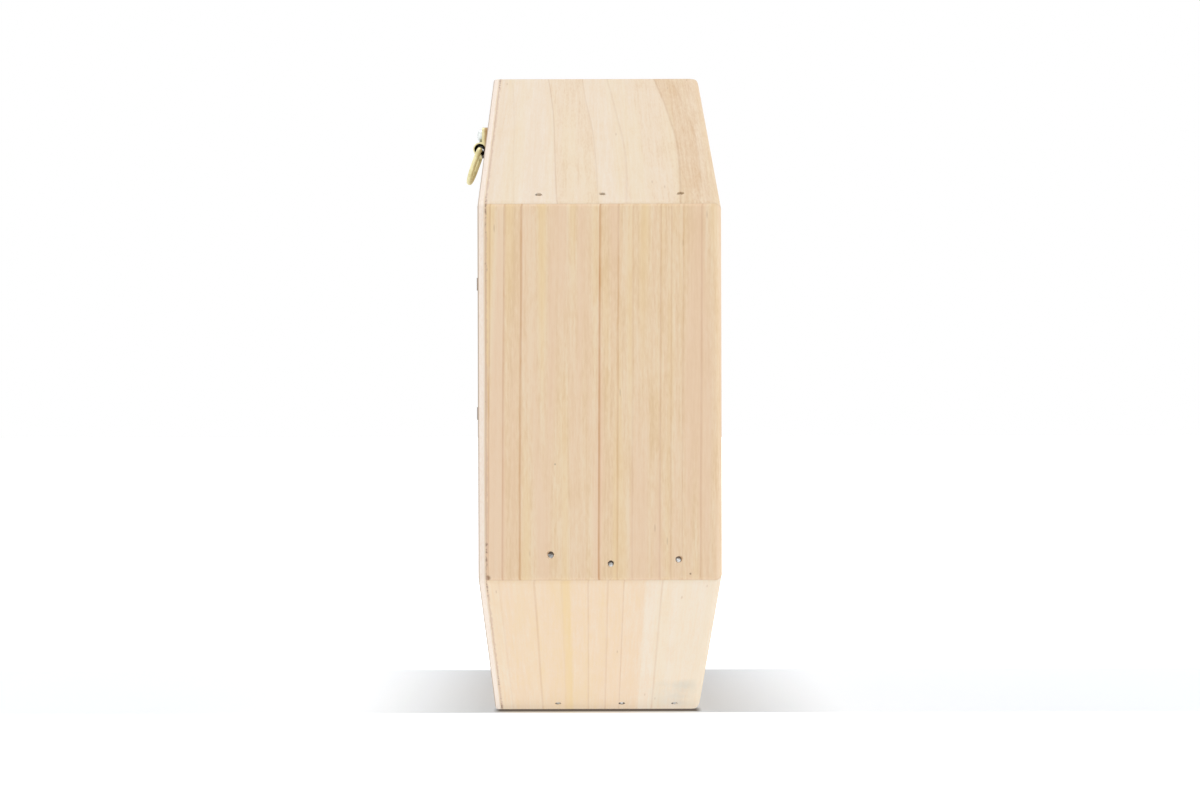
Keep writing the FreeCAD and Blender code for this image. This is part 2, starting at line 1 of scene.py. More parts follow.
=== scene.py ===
"""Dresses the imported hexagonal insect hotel: its boards, back, hangers, canes, logs and cones."""
import logging
import math
from dataclasses import dataclass, replace
from enum import Enum
from typing import Iterable, Sequence

import bmesh
import bpy
import numpy as np
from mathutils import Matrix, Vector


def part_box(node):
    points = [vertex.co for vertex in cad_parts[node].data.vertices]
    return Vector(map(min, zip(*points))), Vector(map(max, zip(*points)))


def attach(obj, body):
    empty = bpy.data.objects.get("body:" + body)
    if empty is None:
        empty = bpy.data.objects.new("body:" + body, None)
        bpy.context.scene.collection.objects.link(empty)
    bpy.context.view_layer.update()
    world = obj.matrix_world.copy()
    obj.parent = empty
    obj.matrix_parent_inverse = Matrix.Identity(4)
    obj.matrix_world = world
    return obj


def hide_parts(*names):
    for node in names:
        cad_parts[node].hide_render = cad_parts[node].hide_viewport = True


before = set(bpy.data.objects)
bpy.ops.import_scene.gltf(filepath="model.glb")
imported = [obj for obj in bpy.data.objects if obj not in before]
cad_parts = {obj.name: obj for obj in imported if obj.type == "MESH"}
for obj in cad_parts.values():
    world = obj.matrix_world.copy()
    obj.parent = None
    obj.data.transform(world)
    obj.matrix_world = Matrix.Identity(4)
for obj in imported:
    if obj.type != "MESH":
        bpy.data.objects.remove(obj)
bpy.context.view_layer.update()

LOG = logging.getLogger("insect_hotel")

Array = np.ndarray
Material = bpy.types.Material
Socket = bpy.types.NodeSocket
Pair = tuple[float, float]
Triple = tuple[float, float, float]

MM = 0.001
FULL_TURN = 2.0 * math.pi
QUARTER_TURN = math.pi / 2
SIN30, COS30, TAN30 = (part(math.radians(30.0)) for part in (math.sin, math.cos, math.tan))
GOLDEN = (math.sqrt(5.0) - 1.0) / 2.0
CASE = "case"

# Settings of the nodes used most: they mix colours, carry a number smoothly into 0 to 1, multiply,
# take the larger of two numbers, and drop a number's sign.
COLOURS = {"data_type": "RGBA", "order": (0, 6, 7), "out": 2}
SMOOTHLY = {"interpolation_type": "SMOOTHSTEP"}
TIMES = {"operation": "MULTIPLY"}
LARGER = {"operation": "MAXIMUM"}
UNSIGNED = {"operation": "ABSOLUTE"}

# Sizes that several sub-assemblies share, in millimetres, and degrees from one board to the next.
SIDE = 150.0
APOTHEM = SIDE * COS30
THICKNESS = 15.0
INNER = APOTHEM - THICKNESS
REAR = 3.0
FRONT = 97.0
DIVIDER = 8.0
BOARD_TURN = 60.0
BOARDS = ("right", "top_right", "top_left", "left", "bottom_left", "bottom_right")

# Seeds of the irregular shapes. The number of a board, nail, row, log or cone is added to them.
TORN_SEED, WAVES_SEED, HOLE_SEED, HEAD_SEED = 20, 40, 60, 70
CASE_LINES_SEED, DIVIDER_LINES_SEED = 50, 70
CANE_SEED, BARK_SEED, CONE_SEED = 200, 300, 400


class Zone(Enum):
    """Which face of a cane or log a point lies on."""

    SKIN = 0.0
    CUT = 1.0
    BORE = 2.0


def linear(code: str) -> tuple[float, float, float, float]:
    """Turns an sRGB hex colour into linear light.

    Args:
        code: Six hex digits.

    Returns:
        Red, green, blue and an alpha of one.
    """
    parts = [int(code[place:place + 2], 16) / 255.0 for place in (0, 2, 4)]
    light = [p / 12.92 if p <= 0.04045 else ((p + 0.055) / 1.055) ** 2.4 for p in parts]
    return (*light, 1.0)


def circle(angle: Array) -> tuple[Array, Array]:
    """The cosine and the sine of each angle."""
    return np.cos(angle), np.sin(angle)


def round_angles(count: int) -> Array:
    """Even angles round a full turn, from 0."""
    return np.linspace(0.0, FULL_TURN, count, endpoint=False)


def joined(*columns: Array | float) -> Array:
    """Points, or rows of numbers, from columns that broadcast together."""
    return np.stack(np.broadcast_arrays(*columns), axis=-1)


def turned(points: Array, degrees: float) -> Array:
    """Turns points about the front-to-back axis.

    Args:
        points: Points, with x, y and z last.
        degrees: Anticlockwise angle, seen from the front.

    Returns:
        The turned points.
    """
    cosine, sine = math.cos(math.radians(degrees)), math.sin(math.radians(degrees))
    x, y, z = np.moveaxis(points, -1, 0)
    return joined(x * cosine - z * sine, y, z * cosine + x * sine)


def smooth(low: float, high: float, number: Array) -> Array:
    """A smooth step from 0 at low to 1 at high."""
    share = np.clip((number - low) / (high - low), 0.0, 1.0)
    return share * share * (3.0 - 2.0 * share)


def ripple(seed: int, *axes: Array, waves: int = 7) -> Array:
    """Irregular numbers of about -1 to 1: a sum of sines of growing slope and random phase.

    Args:
        seed: Chooses the sines.
        axes: Coordinates that broadcast together, scaled so that 1 is a coarse feature.
        waves: How many sines are added.

    Returns:
        One number for each point.
    """
    draw = np.random.default_rng(seed)
    total, weight = 0.0, 0.0
    for wave in range(1, waves + 1):
        slopes = draw.normal(size=len(axes)) * wave
        phase = draw.uniform(0.0, FULL_TURN)
        total = total + np.sin(sum(s * a for s, a in zip(slopes, axes)) + phase) / wave
        weight += 1.0 / wave
    return total / (0.5 * weight)


def spaced(start: float, stop: float, step: float, marks: Iterable[float] = (),
           reach: float = 0.0, fine: float = 1.0) -> Array:
    """Positions at a coarse step, and at a fine one round each mark.

    Args:
        start: First position.
        stop: Last position.
        step: Coarse step.
        marks: Middles of the fine stretches.
        reach: Half the length of a fine stretch.
        fine: Fine step.

    Returns:
        The positions in order, without any that crowd their neighbours.
    """
    lines = [np.linspace(start, stop, max(2, round((stop - start) / step) + 1))]
    lines += [np.arange(mark - reach, mark + reach, fine) for mark in marks]
    crowded = 0.4 * fine
    every = np.sort(np.concatenate(lines))
    every = every[(every > start + crowded) & (every < stop - crowded)]
    apart = np.concatenate(([True], np.diff(every) > crowded))
    return np.concatenate(([start], every[apart], [stop]))


class Shell:
    """Gathers grids of points, in millimetres, into one mesh.

    Points closer than merge, in metres, become one, and edges shorter than sliver are dissolved.
    """

    merge = 2e-6
    sliver = 1e-7

    def __init__(self) -> None:
        """Starts with nothing gathered."""
        self.points: list[Array] = []
        self.quads: list[Array] = []
        self.values: dict[str, list[Array]] = {}
        self.count = 0

    def add(self, grid: Array, **values: Array | float) -> None:
        """Adds one grid, or a stack of grids, as tubes of quads whose last column joins the first.

        Args:
            grid: Points of shape (..., rows, columns, 3).
            values: Numbers or vectors for the points, by attribute name.
        """
        sheets = grid.reshape(-1, *grid.shape[-3:])
        index = np.arange(sheets[..., 0].size).reshape(sheets.shape[:3]) + self.count
        self.count += index.size
        index = np.concatenate((index, index[:, :, :1]), axis=2)
        corners = (index[:, :-1, :-1], index[:, :-1, 1:], index[:, 1:, 1:], index[:, 1:, :-1])
        self.quads.append(np.stack(corners, axis=-1).reshape(-1, 4))
        self.points.append(sheets.reshape(-1, 3))
        for name, value in values.items():
            value = np.asarray(value, float)
            vector = value.ndim > 1 and value.shape[-1] == 3
            spread = np.broadcast_to(value, grid.shape if vector else grid.shape[:-1])
            self.values.setdefault(name, []).append(spread.reshape((-1, 3) if vector else -1))

    def mesh(self, name: str, sharp: float) -> bpy.types.Mesh:
        """Makes the mesh, with its seams merged and its faces outward.

        Args:
            name: The mesh's name.
            sharp: Angle in degrees from which an edge is sharp.

        Returns:
            The mesh, in metres.
        """
        points = np.concatenate(self.points) * MM
        quads = np.concatenate(self.quads)
        mesh = bpy.data.meshes.new(name)
        mesh.vertices.add(len(points))
        mesh.vertices.foreach_set("co", points.astype(np.float32).ravel())
        mesh.loops.add(quads.size)
        mesh.loops.foreach_set("vertex_index", quads.astype(np.int32).ravel())
        mesh.polygons.add(len(quads))
        mesh.polygons.foreach_set("loop_start", np.arange(0, quads.size, 4, dtype=np.int32))
        mesh.update(calc_edges=True)
        for label, parts in self.values.items():
            numbers = np.concatenate(parts).astype(np.float32)
            kind, key = ("FLOAT", "value") if numbers.ndim == 1 else ("FLOAT_VECTOR", "vector")
            mesh.attributes.new(label, kind, "POINT").data.foreach_set(key, numbers.ravel())
        work = bmesh.new()
        work.from_mesh(mesh)
        bmesh.ops.remove_doubles(work, verts=work.verts, dist=self.merge)
        bmesh.ops.dissolve_degenerate(work, edges=work.edges, dist=self.sliver)
        bmesh.ops.recalc_face_normals(work, faces=work.faces)
        work.to_mesh(mesh)
        work.free()
        mesh.polygons.foreach_set("use_smooth", np.ones(len(mesh.polygons), bool))
        mesh.set_sharp_from_angle(angle=math.radians(sharp))
        return mesh

    def piece(self, name: str, nodes: Sequence[str], slot: str, material: Material,
              body: str = CASE, sharp: float = 50.0) -> None:
        """Makes the gathered grids a piece of the object.

        Args:
            name: The piece's name.
            nodes: CAD nodes that it stands for.
            slot: Material slot of the record; not used.
            material: Its finish.
            body: CAD body that it rides on.
            sharp: Angle in degrees from which an edge is sharp.
        """
        mesh = self.mesh(name, sharp)
        mesh.materials.append(material)
        piece = bpy.data.objects.new(name, mesh)
        bpy.context.scene.collection.objects.link(piece)
        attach(piece, body)
        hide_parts(*nodes)
        LOG.info("%s: %d faces", name, len(mesh.polygons))


class Recipe:
    """A material or a world while its nodes are being added."""

    # How far a pattern moves along x, y and z for an offset of 1.
    drift = (1.0, 1.7, 2.3)

    def __init__(self, owner: Material | bpy.types.World) -> None:
        """Starts with no nodes.

        Args:
            owner: The material or world that the nodes make up.
        """
        owner.use_nodes = True
        self.owner = owner
        self.tree = owner.node_tree
        self.tree.nodes.clear()

    def node(self, kind: str, inputs: Sequence[object] | dict[str, object] = (),
             ramp: Sequence[tuple[float, str | float]] = (), order: Sequence[int] = range(8),
             out: int | str = 0, **settings: object) -> Socket | None:
        """Adds a node with its settings and links.

        Args:
            kind: The node's type, without its ShaderNode prefix.
            inputs: Numbers, hex colours or sockets, by the input's name or in order.
            ramp: Places of a colour ramp's stops, each with a hex colour or a grey number.
            order: Places of the inputs that are given in order.
            out: The output to give back.
            settings: The node's own settings.

        Returns:
            The chosen output, where the node has one.
        """
        node = self.tree.nodes.new(f"ShaderNode{kind}")
        for name, setting in settings.items():
            setattr(node, name, setting)
        for key, value in inputs.items() if isinstance(inputs, dict) else zip(order, inputs):
            if isinstance(value, Socket):
                self.tree.links.new(value, node.inputs[key])
            else:
                node.inputs[key].default_value = linear(value) if isinstance(value, str) else value
        for number, (place, tone) in enumerate(ramp):
            stops = node.color_ramp.elements
            ends = {0: 0, len(ramp) - 1: -1}
            stop = stops[ends[number]] if number in ends else stops.new(place)
            stop.position = place
            stop.color = linear(tone) if isinstance(tone, str) else (tone, tone, tone, 1.0)
        return node.outputs[out] if len(node.outputs) else None

    def surface(self, **inputs: object) -> Material:
        """Closes the material with its shader.

        Args:
            inputs: The shader's inputs, with underscores for the spaces in their names.

        Returns:
            The material.
        """
        named = {name.replace("_", " "): value for name, value in inputs.items()}
        shader = self.node("BsdfPrincipled", named)
        self.node("OutputMaterial", {"Surface": shader})
        return self.owner

    def place(self, degrees: float = 0.0) -> Socket:
        """Object coordinates in millimetres, turned back to a board's own directions.

        Args:
            degrees: The board's turn from the right-hand place.

        Returns:
            The coordinates as one vector.
        """
        where = self.node("TexCoord", out="Object")
        return self.node("Mapping", {
            "Vector": where,
            "Rotation": (0.0, math.radians(degrees), 0.0),
            "Scale": (1.0 / MM,) * 3,
        })

    def cloud(self, where: Socket, size: Triple, detail: float = 2.0,
              offset: float = 0.0) -> Socket:
        """An irregular pattern with features of a given size.

        Args:
            where: Coordinates in millimetres.
            size: The features' length along x, y and z, in millimetres.
            detail: Finer layers.
            offset: Moves the pattern, so that pieces differ.

        Returns:
            Numbers from 0 to 1, about 0.5.
        """
        scaled = self.node("Mapping", {
            "Vector": where,
            "Scale": tuple(1.0 / length for length in size),
            "Location": tuple(offset * share for share in self.drift),
        })
        return self.node("TexNoise", {"Vector": scaled, "Scale": 1.0, "Detail": detail})

    def weighed(self, start: Socket | float, *terms: tuple[Socket, Socket | float]) -> Socket:
        """Adds up weighted patterns.

        Args:
            start: What the terms are added to.
            terms: Sockets, each with what it is multiplied by.

        Returns:
            The sum.
        """
        for socket, weight in terms:
            start = self.node("Math", (socket, weight, start), operation="MULTIPLY_ADD")
        return start

    def by_zone(self, skin: Socket, cut: Socket, bore: str) -> tuple[Socket, Socket]:
        """Gives each zone of a cane or a log its colour.

        Args:
            skin: Colour of the skin or bark.
            cut: Colour of the sawn end.
            bore: Colour of the holes.

        Returns:
            The colour, and a number that is 0 on the skin and 1 elsewhere.
        """
        zone = self.node("Attribute", attribute_name="zone", out="Fac")
        at_cut = self.node("MapRange", (zone, 0.3, 0.7))
        in_bore = self.node("MapRange", (zone, 1.3, 1.9))
        colour = self.node("Mix", (at_cut, skin, cut), **COLOURS)
        return self.node("Mix", (in_bore, colour, bore), **COLOURS), at_cut


@dataclass(frozen=True)
class GrowthLine:
    """A late-wood line: its millimetres from the back, the tones beside it and its own strength."""

    depth: float
    before: float
    peak: float
    after: float


@dataclass(frozen=True)
class Mark:
    """A speck, a smudge or painted shade round a nail, on a board's face, by its place from the
    back and along it.
    """

    depth: float
    along: float
    radius: float
    blur: float
    colour: str
    strength: float


@dataclass(frozen=True)
class PlanedFir:
    """Planed, unfinished fir: pale and matt, with thin brown late-wood lines along the board.

    The wood's tones run from 0, the palest, to 1, the deepest. The colours are the palest, middle
    and deepest wood, the lines, and the pink and the honey that bands of the wood lean to.
    """

    name: str
    turn: float
    lines: tuple[GrowthLine, ...]
    colours: tuple[str, str, str, str, str, str]
    # Millimetres that the lines draw back for each one along the board.
    lean: float = 0.0
    marks: tuple[Mark, ...] = ()
    seed: float = 0.0
    sawn: bool = False
    # How strong the grain is, and how strong the highlight painted on the leading arris is.
    figure: float = 1.0
    arris_highlight: float = 0.0
    # Millimetres that the lines wander, and bow between two depths. Then their slant through the
    # board, half their width, and the depths between which they are drawn.
    wander: float = 0.8
    bow: float = 0.0
    bow_depths: Pair = (40.0, 85.0)
    slant: float = 0.35
    line_half: float = 0.5
    lowest: float = -6.0
    highest: float = 102.0
    # How far depth into the board counts for a mark, and the blur above which it is a broad one.
    mark_sink: float = 0.15
    broad_blur: float = 2.0
    # Where the torn band along the back edge fades in.
    torn_depths: Pair = (4.9, 4.2)
    resin: str = "A87B4C"
    torn: str = "D0B09C"
    splinter: str = "6A4632"
    mitre: str = "B98E63"
    # The pale colour of the highlight painted on the leading arris.
    worn: str = "FBF3E6"

    def stops(self) -> tuple[list[Pair], list[Pair]]:
        """Stops of two ramps across the board.

        Returns:
            Places from 0 to 1, each with the wood's tone, and places with a line's strength.
        """
        span = self.highest - self.lowest
        half = self.line_half / span
        tones, peaks = [], []
        for line in self.lines:
            middle = (line.depth - self.lowest) / span
            tones += [(middle - half, line.before), (middle + half, line.after)]
            peaks += [(middle - half, 0.0), (middle, line.peak), (middle + 0.7 * half, 0.0)]
        return tones, peaks

    def material(self) -> Material:
        """Builds the finish: rings along the board, fibres, resin flecks, marks and sawn edges.

        Returns:
            The material.
        """
        recipe = Recipe(bpy.data.materials.new(self.name))
        where = recipe.place(self.turn)
        x, y, z = recipe.node("SeparateXYZ", (where,)).node.outputs
        # Fibres are about 0.3 mm wide; they are drawn at 0.9 mm so that they show.
        fibres = recipe.cloud(where, (0.9, 0.9, 24.0), 3.0, self.seed + 3.0)
        mottle = recipe.cloud(where, (7.0, 7.0, 16.0), 3.0, self.seed + 7.0)
        colour, lines = self.figured(recipe, where, (x, y, z), fibres, mottle)
        colour = self.flecked(recipe, where, colour)
        colour = self.marked(recipe, where, colour, fibres, mottle)
        if self.sawn:
            colour = self.sawn_edges(recipe, where, (x, y, z), colour)
        rough = recipe.weighed(0.46, (fibres, 0.25))
        height = recipe.weighed(0.0, (lines, -0.1), (fibres, 0.8))
        bump = recipe.node("Bump", {"Height": height, "Strength": 0.35, "Distance": 0.25 * MM})
        return recipe.surface(Base_Color=colour, Roughness=rough, Normal=bump, IOR=1.53)

    def figured(self, recipe: Recipe, where: Socket, axes: Sequence[Socket], fibres: Socket,
                mottle: Socket) -> tuple[Socket, Socket]:
        """Colours the wood by its rings, which are planes along the board, and by its grain.

        Args:
            recipe: The material being made.
            where: Millimetres outward, backward and along the board, as one vector.
            axes: The same as three numbers.
            fibres: The pattern of fibres.
            mottle: The pattern of soft patches.

        Returns:
            The colour, and how strongly a late-wood line shows.
        """
        node = recipe.node
        x, y, z = axes
        # Lines wander over a hand's length, and cross the board's thickness at a slant.
        wander = recipe.cloud(where, (55.0, 55.0, 170.0), 2.0, self.seed)
        ring = recipe.weighed(-0.5 * self.wander - self.slant * APOTHEM, (y, -1.0), (z, self.lean),
                              (x, self.slant), (wander, self.wander))
        if self.bow:
            # Towards the front the lines bow, and lie further back at both ends of the board.
            rear, front = self.bow_depths
            square = node("Math", (z, z), **TIMES)
            bow = node("MapRange", (y, -rear, -front, 0.0, self.bow / (SIDE / 2) ** 2))
            ring = recipe.weighed(ring, (square, bow))
        across = node("MapRange", (ring, self.lowest, self.highest))
        bands, lines = (node("ValToRGB", (across,), ramp=stops) for stops in self.stops())
        stripes = recipe.cloud(where, (3.2, 3.2, 120.0), 2.0, self.seed + 5.0)
        # Short pores, about 0.6 mm by 3 mm, break the fibres up.
        pores = recipe.cloud(where, (0.6, 0.6, 3.0), 2.0, self.seed + 9.0)
        grain = recipe.weighed(-1.4, (fibres, 0.9), (stripes, 0.5), (mottle, 0.6), (pores, 0.8))
        # The grain moves the tone by no more than 0.4 either way.
        grain = node("MapRange", (grain, -0.4, 0.4, -0.4, 0.4))
        tone = recipe.weighed(bands, (grain, self.figure))
        pale, base, deep, line, pink, honey = self.colours
        colour = node("ValToRGB", (tone,), ramp=((0.0, pale), (0.5, base), (1.0, deep)))
        # Bands about 7 mm wide lean to pink or to honey.
        tints = recipe.cloud(where, (7.0, 7.0, 190.0), 1.0, self.seed + 13.0)
        for tint, reach in ((pink, 0.35), (honey, 0.65)):
            share = node("MapRange", (tints, 0.5, reach, 0.0, 0.35 * self.figure))
            colour = node("Mix", (share, colour, tint), **COLOURS)
        # Each line swells and fades a little along the board.
        lines = node("Math", (lines, recipe.weighed(0.5, (mottle, 1.0))), **TIMES)
        return node("Mix", (lines, colour, line), **COLOURS), lines

    def flecked(self, recipe: Recipe, where: Socket, colour: Socket) -> Socket:
        """Adds resin flecks: short brown dashes, few and far between.

        Args:
            recipe: The material being made.
            where: Coordinates in millimetres.
            colour: The wood's colour so far.

        Returns:
            The colour with its flecks.
        """
        # Few of the cells, each 5 mm by 29 mm, have a fleck, about a tenth of their size.
        cells = recipe.node("Mapping", {"Vector": where, "Scale": (0.2, 0.2, 0.035)})
        fleck = recipe.node("TexVoronoi", {"Vector": cells, "Scale": 1.0})
        rare = recipe.node("MapRange", (fleck.node.outputs["Color"], 0.66, 0.7))
        dash = recipe.node("MapRange", (fleck, 0.075, 0.03, 0.0, 0.28), **SMOOTHLY)
        dash = recipe.node("Math", (dash, rare), **TIMES)
        return recipe.node("Mix", (dash, colour, self.resin), **COLOURS)

    def marked(self, recipe: Recipe, where: Socket, colour: Socket, fibres: Socket,
               mottle: Socket) -> Socket:
        """Adds the marks, whose edges follow the mottle where they are broad, or else the fibres.

        Args:
            recipe: The material being made.
            where: Coordinates in millimetres.
            colour: The wood's colour so far.
            fibres: The pattern of fibres.
            mottle: The pattern of soft patches.

        Returns:
            The colour with its marks.
        """
        # Depth into the board counts little, so that a mark reaches down into a nail's hole.
        flat = recipe.node("VectorMath", (where, (self.mark_sink, 1.0, 1.0)), **TIMES)
        for mark in self.marks:
            spot = (self.mark_sink * APOTHEM, -mark.depth, mark.along)
            gap = recipe.node("VectorMath", (flat, spot), out="Value", operation="DISTANCE")
            edge = mottle if mark.blur > self.broad_blur else fibres
            gap = recipe.weighed(gap, (edge, 2.0 * mark.blur))
            end = mark.radius + 2.0 * mark.blur
            share = recipe.node("MapRange", (gap, end, mark.radius, 0.0, mark.strength), **SMOOTHLY)
            colour = recipe.node("Mix", (share, colour, mark.colour), **COLOURS)
        return colour

    def sawn_edges(self, recipe: Recipe, where: Socket, axes: Sequence[Socket],
                   colour: Socket) -> Socket:
        """Darkens the torn fibres along the back edge and the thin lines at the mitres.

        A pale highlight is painted on the leading end's arris.

        Args:
            recipe: The material being made.
            where: Millimetres outward, backward and along the board, as one vector.
            axes: The same as three numbers.
            colour: The wood's colour so far.

        Returns:
            The colour with its edges.
        """
        node = recipe.node
        x, y, z = axes
        tears = recipe.cloud(where, (3.0, 3.0, 4.0), 3.0, self.seed)
        depth = recipe.weighed(0.0, (y, -1.0), (tears, 1.6))
        rear = node("MapRange", (depth, *self.torn_depths, 0.0, 0.6), **SMOOTHLY)
        away = node("Math", (z,), **UNSIGNED)
        end = recipe.weighed(0.0, (x, TAN30), (away, -1.0))
        # Dark splinters about 1.5 mm long, most of them within 25 mm of the mitres.
        splinters = recipe.cloud(where, (1.2, 1.2, 1.6), 2.0, self.seed + 21.0)
        stretch = recipe.cloud(where, (16.0, 16.0, 16.0), 1.0, self.seed + 23.0)
        near = node("MapRange", (end, 26.0, 4.0, 0.0, 0.2))
        dark = recipe.weighed(near, (splinters, 1.0), (stretch, 0.8))
        dark = node("MapRange", (dark, 1.1, 1.25, 0.0, 0.9))
        dark = node("Math", (dark, rear), **TIMES)
        line = node("MapRange", (end, 0.8, 0.0, 0.0, 0.15), **SMOOTHLY)
        # A pale highlight is painted along the leading arris.
        lead = recipe.weighed(0.0, (x, TAN30), (z, -1.0), (tears, 0.5))
        arris = node("MapRange", (lead, 1.3, 0.8, 0.0, self.arris_highlight), **SMOOTHLY)
        for share, tint in ((rear, self.torn), (dark, self.splinter), (line, self.mitre),
                            (arris, self.worn)):
            colour = node("Mix", (share, colour, tint), **COLOURS)
        return colour


def grown_lines(seed: int, span: Pair = (REAR, FRONT),
                count: int = 8) -> tuple[GrowthLine, ...]:
    """Late-wood lines for a board that the photograph doesn't show.

    Args:
        seed: Chooses the spacing and the tones.
        span: Millimetres from the back between which they lie.
        count: How many lines.

    Returns:
        The lines from back to front.
    """
    draw = np.random.default_rng(seed)
    places = np.cumsum(draw.uniform(0.5, 1.8, count + 1))
    places = span[0] + (span[1] - span[0]) * places / places[-1]
    tones = draw.uniform((0.3, 0.2, 0.2), (0.7, 0.8, 0.6), (count, 3))
    rows = np.column_stack((places[:count], tones))
    return tuple(GrowthLine(*row) for row in rows.tolist())


@dataclass(frozen=True)
class Plywood:
    """Thin three-ply poplar: a broad, faint veneer figure, and a cross-laid core at the rim."""

    name: str = "poplar_plywood"
    face: tuple[str, str, str, str] = ("F3E3CE", "EEDBC0", "E9D0AE", "E3C9A6")
    core: tuple[str, str] = ("F7E4D3", "FCEEE0")
    glue: str = "B08A66"
    edge: str = "A8917E"
    scorch: float = 0.75
    veneer: float = 0.5

    def material(self) -> Material:
        """Builds the finish: wavy veneer lines up the board, and layers through its thickness.

        Returns:
            The material.
        """
        recipe = Recipe(bpy.data.materials.new(self.name))
        node = recipe.node
        where = recipe.place()
        x, y, _ = node("SeparateXYZ", (where,)).node.outputs
        # Rotary-cut veneer shows a wavy line every 10 mm or so, that closes into long loops.
        drift = recipe.cloud(where, (60.0, 60.0, 150.0), 1.0, 4.0)
        ring = recipe.weighed(0.0, (x, 0.6), (drift, 120.0))
        figure = node("Math", (ring, 6.0), operation="PINGPONG")
        # Fibres are about 0.3 mm wide; they are drawn at 0.9 mm so that they show.
        fibres = recipe.cloud(where, (0.9, 0.9, 45.0), 3.0, 2.0)
        mottle = recipe.cloud(where, (16.0, 16.0, 60.0), 3.0, 8.0)
        tone = recipe.weighed(-0.42, (figure, 0.075), (fibres, 0.5), (mottle, 0.55))
        face = node("ValToRGB", (tone,), ramp=tuple(zip((0.0, 0.45, 0.8, 1.0), self.face)))
        # The core's short fibres run across, so its edge is dotted with end grain.
        grain = recipe.cloud(where, (1.4, 0.5, 1.4), 2.0, 6.0)
        dots = node("ValToRGB", (grain,), ramp=tuple(zip((0.25, 0.6), self.core)))
        middle = node("Math", (recipe.weighed(0.5 * REAR, (y, 1.0)),), **UNSIGNED)
        half = 0.5 * REAR - self.veneer
        inside = node("MapRange", (middle, half + 0.1, half - 0.05))
        glue = node("Math", (recipe.weighed(-half - 0.05, (middle, 1.0)),), **UNSIGNED)
        glue = node("MapRange", (glue, 0.14, 0.03, 0.0, 0.12), **SMOOTHLY)
        # The saw has scorched the thin outer rim of the rear veneer.
        rim = node("Attribute", attribute_name="rim", out="Fac")
        rim = node("Math", (rim, self.scorch), **TIMES)
        colour = face
        for share, tint in ((inside, dots), (glue, self.glue), (rim, self.edge)):
            colour = node("Mix", (share, colour, tint), **COLOURS)
        bump = node("Bump", {"Height": fibres, "Strength": 0.3, "Distance": 0.2 * MM})
        rough = recipe.weighed(0.5, (fibres, 0.2))
        return recipe.surface(Base_Color=colour, Roughness=rough, Normal=bump, IOR=1.53)


@dataclass(frozen=True)
class PaintedFoldShade:
    """Painted shade on a hanger's strap: a black shadow in and under its fold, and a brown shade
    along the wall behind.

    The fold's middle is given by its distance to the side, its depth and its height. A pair of
    millimetres says where a soft edge starts and where it ends.
    """

    across: float
    depth: float
    height: float
    radius: float
    half: float
    wall: Pair = (2.0, 0.8)
    wall_strength: float = 0.85
    inner: Pair = (0.12, 0.05)
    lip: Pair = (0.9, 1.5)
    lip_depth: Pair = (0.4, 0.8)
    end: float = 0.1
    black: str = "0A0704"
    brown: str = "A67C48"


